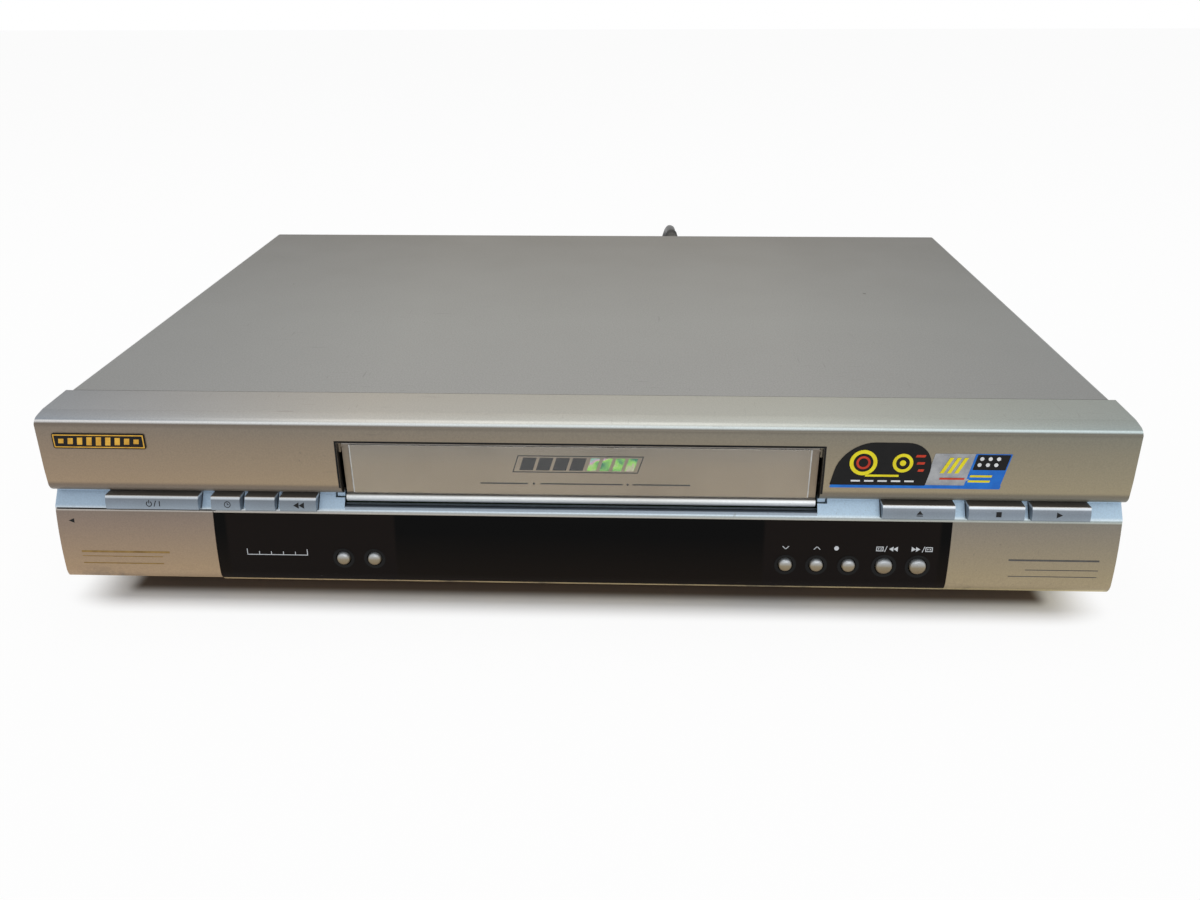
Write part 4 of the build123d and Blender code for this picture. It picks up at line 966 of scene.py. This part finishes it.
# Sales labels at the right: a black one with two reels and a ribbon, a silver one, a blue one, over a blue strip
film, ink, slant = 0.1, 0.03, 0.22
labelFilms = {
    "labelStrip": (131.4, 55.5, 66.0, 1.5, 0.2, 1.0, "labelBlue"),
    "labelSilverFilm": (144.4, 63.0, 16.4, 13.4, 0.3, 1.2, "labelSilver"),
    "labelBlueFilm": (158.6, 62.6, 14.0, 14.2, 0.3, 1.4, "labelBlue"),
    "labelBlackFilm": (118.6, 65.0, 37.0, 18.0, 0.4, 1.6, "labelBlack", 0.0, 12.5),
    "labelDarkField": (159.6, 66.2, 12.6, 6.4, 0.3, 1.6, "labelBlack", ink),
}
for name, (x, z, wide, tall, corner, layers, finish, *liftAndDome) in labelFilms.items():
    label(name, x, z, wide, tall, slant, corner, film * layers, finish, *liftAndDome)
labelMarks = {
    "labelYellowReels": ("labelYellow", [
        (arc, 110.4, 65.6, 4.6, 1.5), (arc, 125.6, 65.6, 3.3, 1.3), (disc, 125.6, 65.6, 1.2),
        (patch, 118.0, 60.2, 13.0, 0.9),
    ]),
    "labelRedReel": ("labelRed", [(arc, 110.4, 65.6, 2.3, 0.9)] + [
        (patch, 132.2 + 0.3 * step, 68.6 - 3.0 * step, 3.6 - 0.7 * step, 1.0, 0.4) for step in range(3)
    ]),
    "labelWhiteTicks": ("labelWhite", [(patch, 108.0 + 5.2 * step, 57.9, 3.6, 0.7) for step in range(5)]),
    "labelYellowSlants": ("labelYellow", [(patch, 142.6 + 2.8 * step, 64.8, 1.5, 6.6, 0.5) for step in range(3)]),
    "labelRedRule": ("labelRed", [(patch, 145.2, 59.2, 9.6, 0.8, 0.3)]),
    "labelWhiteDots": ("labelWhite", [
        (disc, 155.0 + 3.2 * step + 0.7 * row, 65.2 + 2.5 * row, 0.8, 16) for row in range(2) for step in range(3)
    ]),
    "labelYellowBars": ("labelYellow", [
        (patch, 156.2 - 0.5 * row, 60.4 - 2.2 * row, 8.4, 0.9, 0.3) for row in range(2)
    ]),
}
for name, (finish, marks) in labelMarks.items():
    printOn(name, marks, finish, frontSkin, lift=film * 1.6 + 3 * ink)
print("labels laid")


# Cassette door: the clear panel over the leaf, painted highlights along its edges, and the printed band behind it
doorLook = {"air": 0.14, "soft": 0.18, "bandZ": 61.7, "ruleZ": 52.9, "slant": 0.32, "edge": 0.3}


def makeDoorGlass(d):
    bm = bmesh.new()
    block(bm, low("door_panel"), high("door_panel") - Vector((0, d["air"], 0)))
    softEdges(bm, bm.edges, d["soft"], 2)
    glass = finishPiece("doorGlass", bm, "clearPanel", "cassette_door", smooth=False)
    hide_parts("door_panel")


makeDoorGlass(doorLook)


def doorMarks(d):
    first, last = low("door_panel"), high("door_panel")
    edge, bandZ, ruleZ, slant = d["edge"], d["bandZ"], d["ruleZ"], d["slant"]
    tall, z = last.z - first.z - 2 * edge, (first.z + last.z) / 2
    return {
        # painted highlight: glints along the clear panel's sides and top edge
        "glassEdgeGlints": ("edgeGlint", [
            (patch, first.x + 0.25, z, edge, tall), (patch, last.x - 0.25, z, edge, tall),
            (patch, (first.x + last.x) / 2, last.z - 0.25, last.x - first.x, edge),
        ]),
        "doorBandDark": ("blackInk", [(patch, -20.6 + 6.6 * step, bandZ, 5.4, 5.6, slant) for step in range(4)]),
        "doorBandShimmer": ("shimmerFoil", [(patch, 5.4 + 5.0 * step, bandZ, 3.6, 5.6, slant) for step in range(4)]),
        "doorBandRim": ("blackInk", [(frameLine, -0.8, bandZ, 50.0, 7.6, 0.45, slant)]),
        "doorRules": ("blackInk", [
            (patch, -30.5, ruleZ, 19.0, 0.6), (patch, 0.6, ruleZ, 33.0, 0.6), (patch, 32.4, ruleZ, 23.0, 0.6),
            (disc, -18.5, ruleZ, 0.5, 12), (disc, 19.0, ruleZ, 0.5, 12),
        ]),
    }


for name, (finish, marks) in doorMarks(doorLook).items():
    printOn(name, marks, finish, doorSkin, "cassette_door")
print("door dressed")


# Mains lead: the route of the frame's own tube, then the coil's turns, the tail and the plug
leadShape = {
    "diameter": 6.2, "middleRadius": 35.0, "turns": 3, "spare": 0.5, "pointsPerHalfTurn": 10,
    "straight": 22.0, "route": [(45.0, 43.0, 62.0), (41.0, 55.0, 43.0), (32.0, 61.0, 22.5), (15.0, 63.5, 8.0),
                                (-6.0, 64.0, 3.1), (-28.0, 64.0, 3.1)],
    "tail": [(0.3, 0.1), (0.7, 0.9), (1.0, 1.0)], "tailRun": 18.6, "tailRadius": 32.24, "plugAxis": 7.0,
    "length": 1.5195,
}


# The route is x, distance behind the bush's end, and z; the tail is shares of its run and of its fall
def leadPoints(c):
    start = middle("strain_relief")
    start.y = high("strain_relief").y
    radius = c["diameter"] / 2
    points = [start.copy(), start + Vector((0, c["straight"], 0))]
    points += [Vector((x, start.y + behind, z)) for x, behind, z in c["route"]]
    pitch = c["diameter"] + c["spare"]
    turns = c["turns"]
    outer = c["middleRadius"] + turns * pitch / 2
    halves = [(outer - step * pitch / 2, 0.0) for step in range(2 * turns)]
    halves += [(outer - turns * pitch, pitch)]
    halves += [(outer - step * pitch / 2, 0.0) for step in range(2 * turns - 1, 0, -1)]
    here, heading = points[-1].copy(), -1
    for reach, climb in halves:
        hub = here + Vector((0, heading * reach, 0))
        for step in range(1, c["pointsPerHalfTurn"] + 1):
            angle = pi * step / c["pointsPerHalfTurn"]
            rise = climb * step / c["pointsPerHalfTurn"]
            points.append(hub + Vector((heading * reach * sin(angle), -heading * reach * cos(angle), rise)))
        here, heading = points[-1].copy(), -heading
    drop = radius + pitch - c["plugAxis"]
    lean = acos(1 - drop / 2 / c["tailRadius"])
    fall = 2 * c["tailRadius"] * sin(lean)
    points += [here - Vector((c["tailRun"] / 2, 0, 0)), here - Vector((c["tailRun"], 0, 0))]
    points += [here - Vector((c["tailRun"] + fall * along, 0, drop * down)) for along, down in c["tail"]]
    points.append(here - Vector((c["tailRun"] + fall + c["diameter"], 0, drop)))
    return points


def makeLead(c):
    points = leadPoints(c)
    curve = bpy.data.curves.new("mainsLeadFlex", "CURVE")
    curve.dimensions = "3D"
    curve.bevel_depth = c["diameter"] / 2 * mm
    curve.bevel_resolution = 5
    curve.resolution_u = 4
    curve.use_fill_caps = True
    spline = curve.splines.new("NURBS")
    spline.points.add(len(points) - 1)
    for point, where in zip(spline.points, points):
        point.co = (*(where * mm), 1.0)
    spline.order_u = 3
    spline.use_endpoint_u = True
    curve.materials.append(made["leadSheath"])
    lead = addObject("mainsLeadFlex", curve)
    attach(lead, "casing")
    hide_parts("mains_lead", "lead_coil")
    return lead, points[0]


# Tapered strain relief with ribs, on the axis of the bush in the frame
reliefShape = {
    "ribs": 9, "ribDepth": 0.75, "rib": ((0.1, 1), (0.35, 1), (0.5, 0), (0.9, 0)),
    "rootRadius": 5.4, "tipRadius": 3.75, "neck": 5.5, "bore": 3.0, "plainEnd": 2.5,
    "flange": 7.5, "flangeThick": 3.0,
}


def makeRelief(r):
    first, last, axis = low("strain_relief"), high("strain_relief"), middle("strain_relief")
    panel, flange, root, tip = high("rear_panel").y, r["flange"], r["rootRadius"], r["tipRadius"]
    face = panel + r["flangeThick"]
    profile = [
        (first.y, 0.1), (first.y, r["neck"]), (panel, r["neck"]), (panel, flange - 0.4), (panel + 0.5, flange),
        (face - 0.5, flange), (face, flange - 0.5), (face, root + 0.1),
    ]
    run = last.y - face - r["plainEnd"]
    for step in range(r["ribs"]):
        for share, dip in r["rib"]:
            along = (step + share) / r["ribs"]
            wide = root + (tip - root) * along
            profile.append((face + 0.4 + run * along, wide - dip * r["ribDepth"] * (1 - 0.5 * along)))
    profile += [(last.y - 0.6, tip), (last.y, tip - 0.5), (last.y, r["bore"])]
    bm = bmesh.new()
    sweep(bm, [Vector((axis.x, y, axis.z + reach)) for y, reach in profile], axis, (0, 1, 0), 36)
    closed(bm)
    relief = finishPiece("leadRelief", bm, "blackRubber", "casing")
    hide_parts("strain_relief")
    return relief


# Flat two-pin plug: a waisted body pulled out of a rounded section, and two pins
plugShape = {
    "sections": [(0.0, 4.4, 4.4), (6.0, 5.0, 4.8), (20.0, 5.8, 5.4), (27.0, 11.0, 6.4), (32.5, 16.4, 6.9),
                 (48.0, 17.0, 7.0), (52.0, 16.2, 6.4)],
    "squareness": 0.72, "pinOffset": 9.3, "pinRadius": 2.0, "pinRoot": 50.0,
    "pinTip": ((1.0, 0.0), (0.3, 0.5), (0.0, 1.2)),
}


def rounded(value, power):
    return abs(value) ** power * (1 if value > 0 else -1)


def makePlug(p):
    first, last, axis = low("mains_plug"), high("mains_plug"), middle("mains_plug")
    axis.x = last.x
    bm = bmesh.new()
    ring = bmesh.ops.create_circle(bm, cap_ends=True, segments=40, radius=1.0)["verts"]
    order = {vert: tuple(rounded(value, p["squareness"]) for value in vert.co.xy) for vert in ring}
    face = bm.faces[:][0]
    for step, (back, wide, tall) in enumerate(p["sections"]):
        if step:
            face = bmesh.ops.extrude_discrete_faces(bm, faces=[face])["faces"][0]
            order = {new: order[min(order, key=lambda old: (old.co - new.co).length)] for new in face.verts}
        for vert, (across, up) in order.items():
            vert.co = axis + Vector((-back, across * wide, up * tall))
    closed(bm)
    body = finishPiece("plugBody", bm, "leadSheath", "casing")
    pins = bmesh.new()
    radius = p["pinRadius"]
    for side in (-1, 1):
        at = axis + Vector((0, side * p["pinOffset"], 0))
        profile = [(last.x - p["pinRoot"], radius)]
        profile += [(first.x + back, radius - less) for back, less in p["pinTip"]] + [(first.x, 0.05)]
        sweep(pins, [Vector((x, at.y, at.z + reach)) for x, reach in profile], at, (1, 0, 0), 24)
    closed(pins)
    pinPiece = finishPiece("plugPins", pins, "nickel", "casing")
    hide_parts("mains_plug")
    return body, pinPiece


lead, leadExit = makeLead(leadShape)
relief = makeRelief(reliefShape)
plugBody, plugPins = makePlug(plugShape)
print("mains lead laid,", leadShape["length"], "m")


# Coloured rings in the mouths of the phono sockets, front and back
jackRings = {
    "inner": 1.7, "outer": 3.3, "thick": 0.2, "soft": 0.1, "radius": 4.15, "rearZ": (28.0, 44.0),
    "frontInks": ("labelYellow", "labelWhite", "labelRed"), "rearInks": ("labelRed", "labelWhite"),
}


def jackRing(name, at, way, finish, j):
    bm = bmesh.new()
    inner, outer, soft, rise = j["inner"], j["outer"], j["soft"], way * j["thick"]
    profile = [(0.0, inner), (rise, inner + soft), (rise, outer - soft), (0.0, outer)]
    sweep(bm, [at + Vector((0, y, reach)) for y, reach in profile], at, (0, 1, 0), 28, loop=True)
    closed(bm)
    return finishPiece(name, bm, finish, "casing")


def makeJackRings(j):
    first, last = low("front_jacks"), high("front_jacks")
    places = (first.x + j["radius"], (first.x + last.x) / 2, last.x - j["radius"])
    for step, (x, finish) in enumerate(zip(places, j["frontInks"]), 1):
        jackRing(f"frontJackRing{step}", Vector((x, first.y, (first.z + last.z) / 2)), -1, finish, j)
    for step, (z, finish) in enumerate(zip(j["rearZ"], j["rearInks"]), 1):
        at = Vector((middle("rear_jacks").x, high("rear_jacks").y, z))
        jackRing(f"rearJackRing{step}", at, 1, finish, j)


makeJackRings(jackRings)


# Floor, light and background; the floor carries a painted shadow under the body
studio = {
    "floorSize": 4.0, "floorDrop": 0.4, "floor": (250, 250, 250), "paintedShadow": (112, 99, 89),
    "ambient": 0.5, "far": 0.93,
    "fade": {"left": (-190.0, 30.0), "right": (190.0, 30.0), "front": (-149.0, 15.0), "back": (230.0, 160.0)},
    # painted shadow: a dark brown floor tone under the body, fading out past each side
    "under": {"left": (-189.0, 8.0), "right": (189.0, 8.0), "front": (-142.0, 8.0), "back": (136.0, 12.0)},
    "keyPlace": (-0.1, 0.25, 1.4), "keySize": (1.1, 0.8), "keyPower": 7.0,
    "fillPlace": (0.3, -1.6, 0.7), "fillSize": (1.3, 0.8), "fillPower": 6.0,
}


# Nothing within four sides on the floor, rising past each side over its own distance
def beyondSides(tree, place, sides, most):
    total = 0.0
    for side, axis, way in (("left", 0, -1), ("right", 0, 1), ("front", 1, -1), ("back", 1, 1)):
        edge, reach = sides[side]
        over = spread(tree, place[axis], edge * mm, (edge + way * reach) * mm)
        total = sums(tree, "ADD", times(tree, over, over), total)
    distance = sums(tree, "SQRT", total)
    return node(tree, "MapRange", {0: distance, 4: most}, interpolation_type="SMOOTHSTEP").outputs[0]


# What the camera, mirrors and glass see straight, as against what lights the scene
def seenStraight(tree):
    rays = node(tree, "LightPath").outputs
    seen = sums(tree, "MAXIMUM", rays["Is Camera Ray"], rays["Is Glossy Ray"])
    return sums(tree, "MAXIMUM", seen, rays["Is Transmission Ray"])


def makeFloor(s):
    bm = bmesh.new()
    bmesh.ops.create_grid(bm, x_segments=2, y_segments=2, size=s["floorSize"])
    bmesh.ops.translate(bm, vec=(0, 0, -s["floorDrop"] * mm), verts=bm.verts)
    mesh = bpy.data.meshes.new("floor")
    bm.to_mesh(mesh)
    bm.free()
    tree, shader = newMaterial("paleFloor", Roughness=0.9, Specular_IOR_Level=0.1)
    glow = node(tree, "Emission", {"Color": white, "Strength": 1.0})
    place = placeParts(tree)
    # painted shadow under the body, as base colour
    under = beyondSides(tree, place, s["under"], 1.0)
    tree.links.new(blendColour(tree, under, s["paintedShadow"], s["floor"]), shader.inputs["Base Color"])
    part = times(tree, seenStraight(tree), beyondSides(tree, place, s["fade"], s["far"]))
    both = node(tree, "MixShader", {0: part, 1: shader.outputs[0], 2: glow.outputs[0]})
    tree.links.new(both.outputs[0], tree.nodes["Material Output"].inputs["Surface"])
    mesh.materials.append(made["paleFloor"])
    floor = addObject("floor", mesh)


def makeLamp(name, place, size, power, aim=(0.0, -0.08, 0.04)):
    data = bpy.data.lights.new(name, "AREA")
    data.shape = "RECTANGLE"
    data.size, data.size_y = size
    data.energy = power
    lamp = addObject(name, data)
    lamp.location = place
    lamp.rotation_euler = (Vector(place) - Vector(aim)).to_track_quat("Z", "Y").to_euler()


def makeWorld(s):
    world = bpy.data.worlds.new("studio")
    bpy.context.scene.world = world
    world.use_nodes = True
    tree = world.node_tree
    strength = spread(tree, seenStraight(tree), 0.0, 1.0, s["ambient"], 1.0)
    backdrop = tree.nodes["Background"]
    backdrop.inputs["Color"].default_value = white
    tree.links.new(strength, backdrop.inputs["Strength"])


makeFloor(studio)
makeLamp("keyLamp", studio["keyPlace"], studio["keySize"], studio["keyPower"])
makeLamp("fillLamp", studio["fillPlace"], studio["fillSize"], studio["fillPower"])
makeWorld(studio)
bpy.context.scene.view_settings.view_transform = "Standard"
print("studio lit")
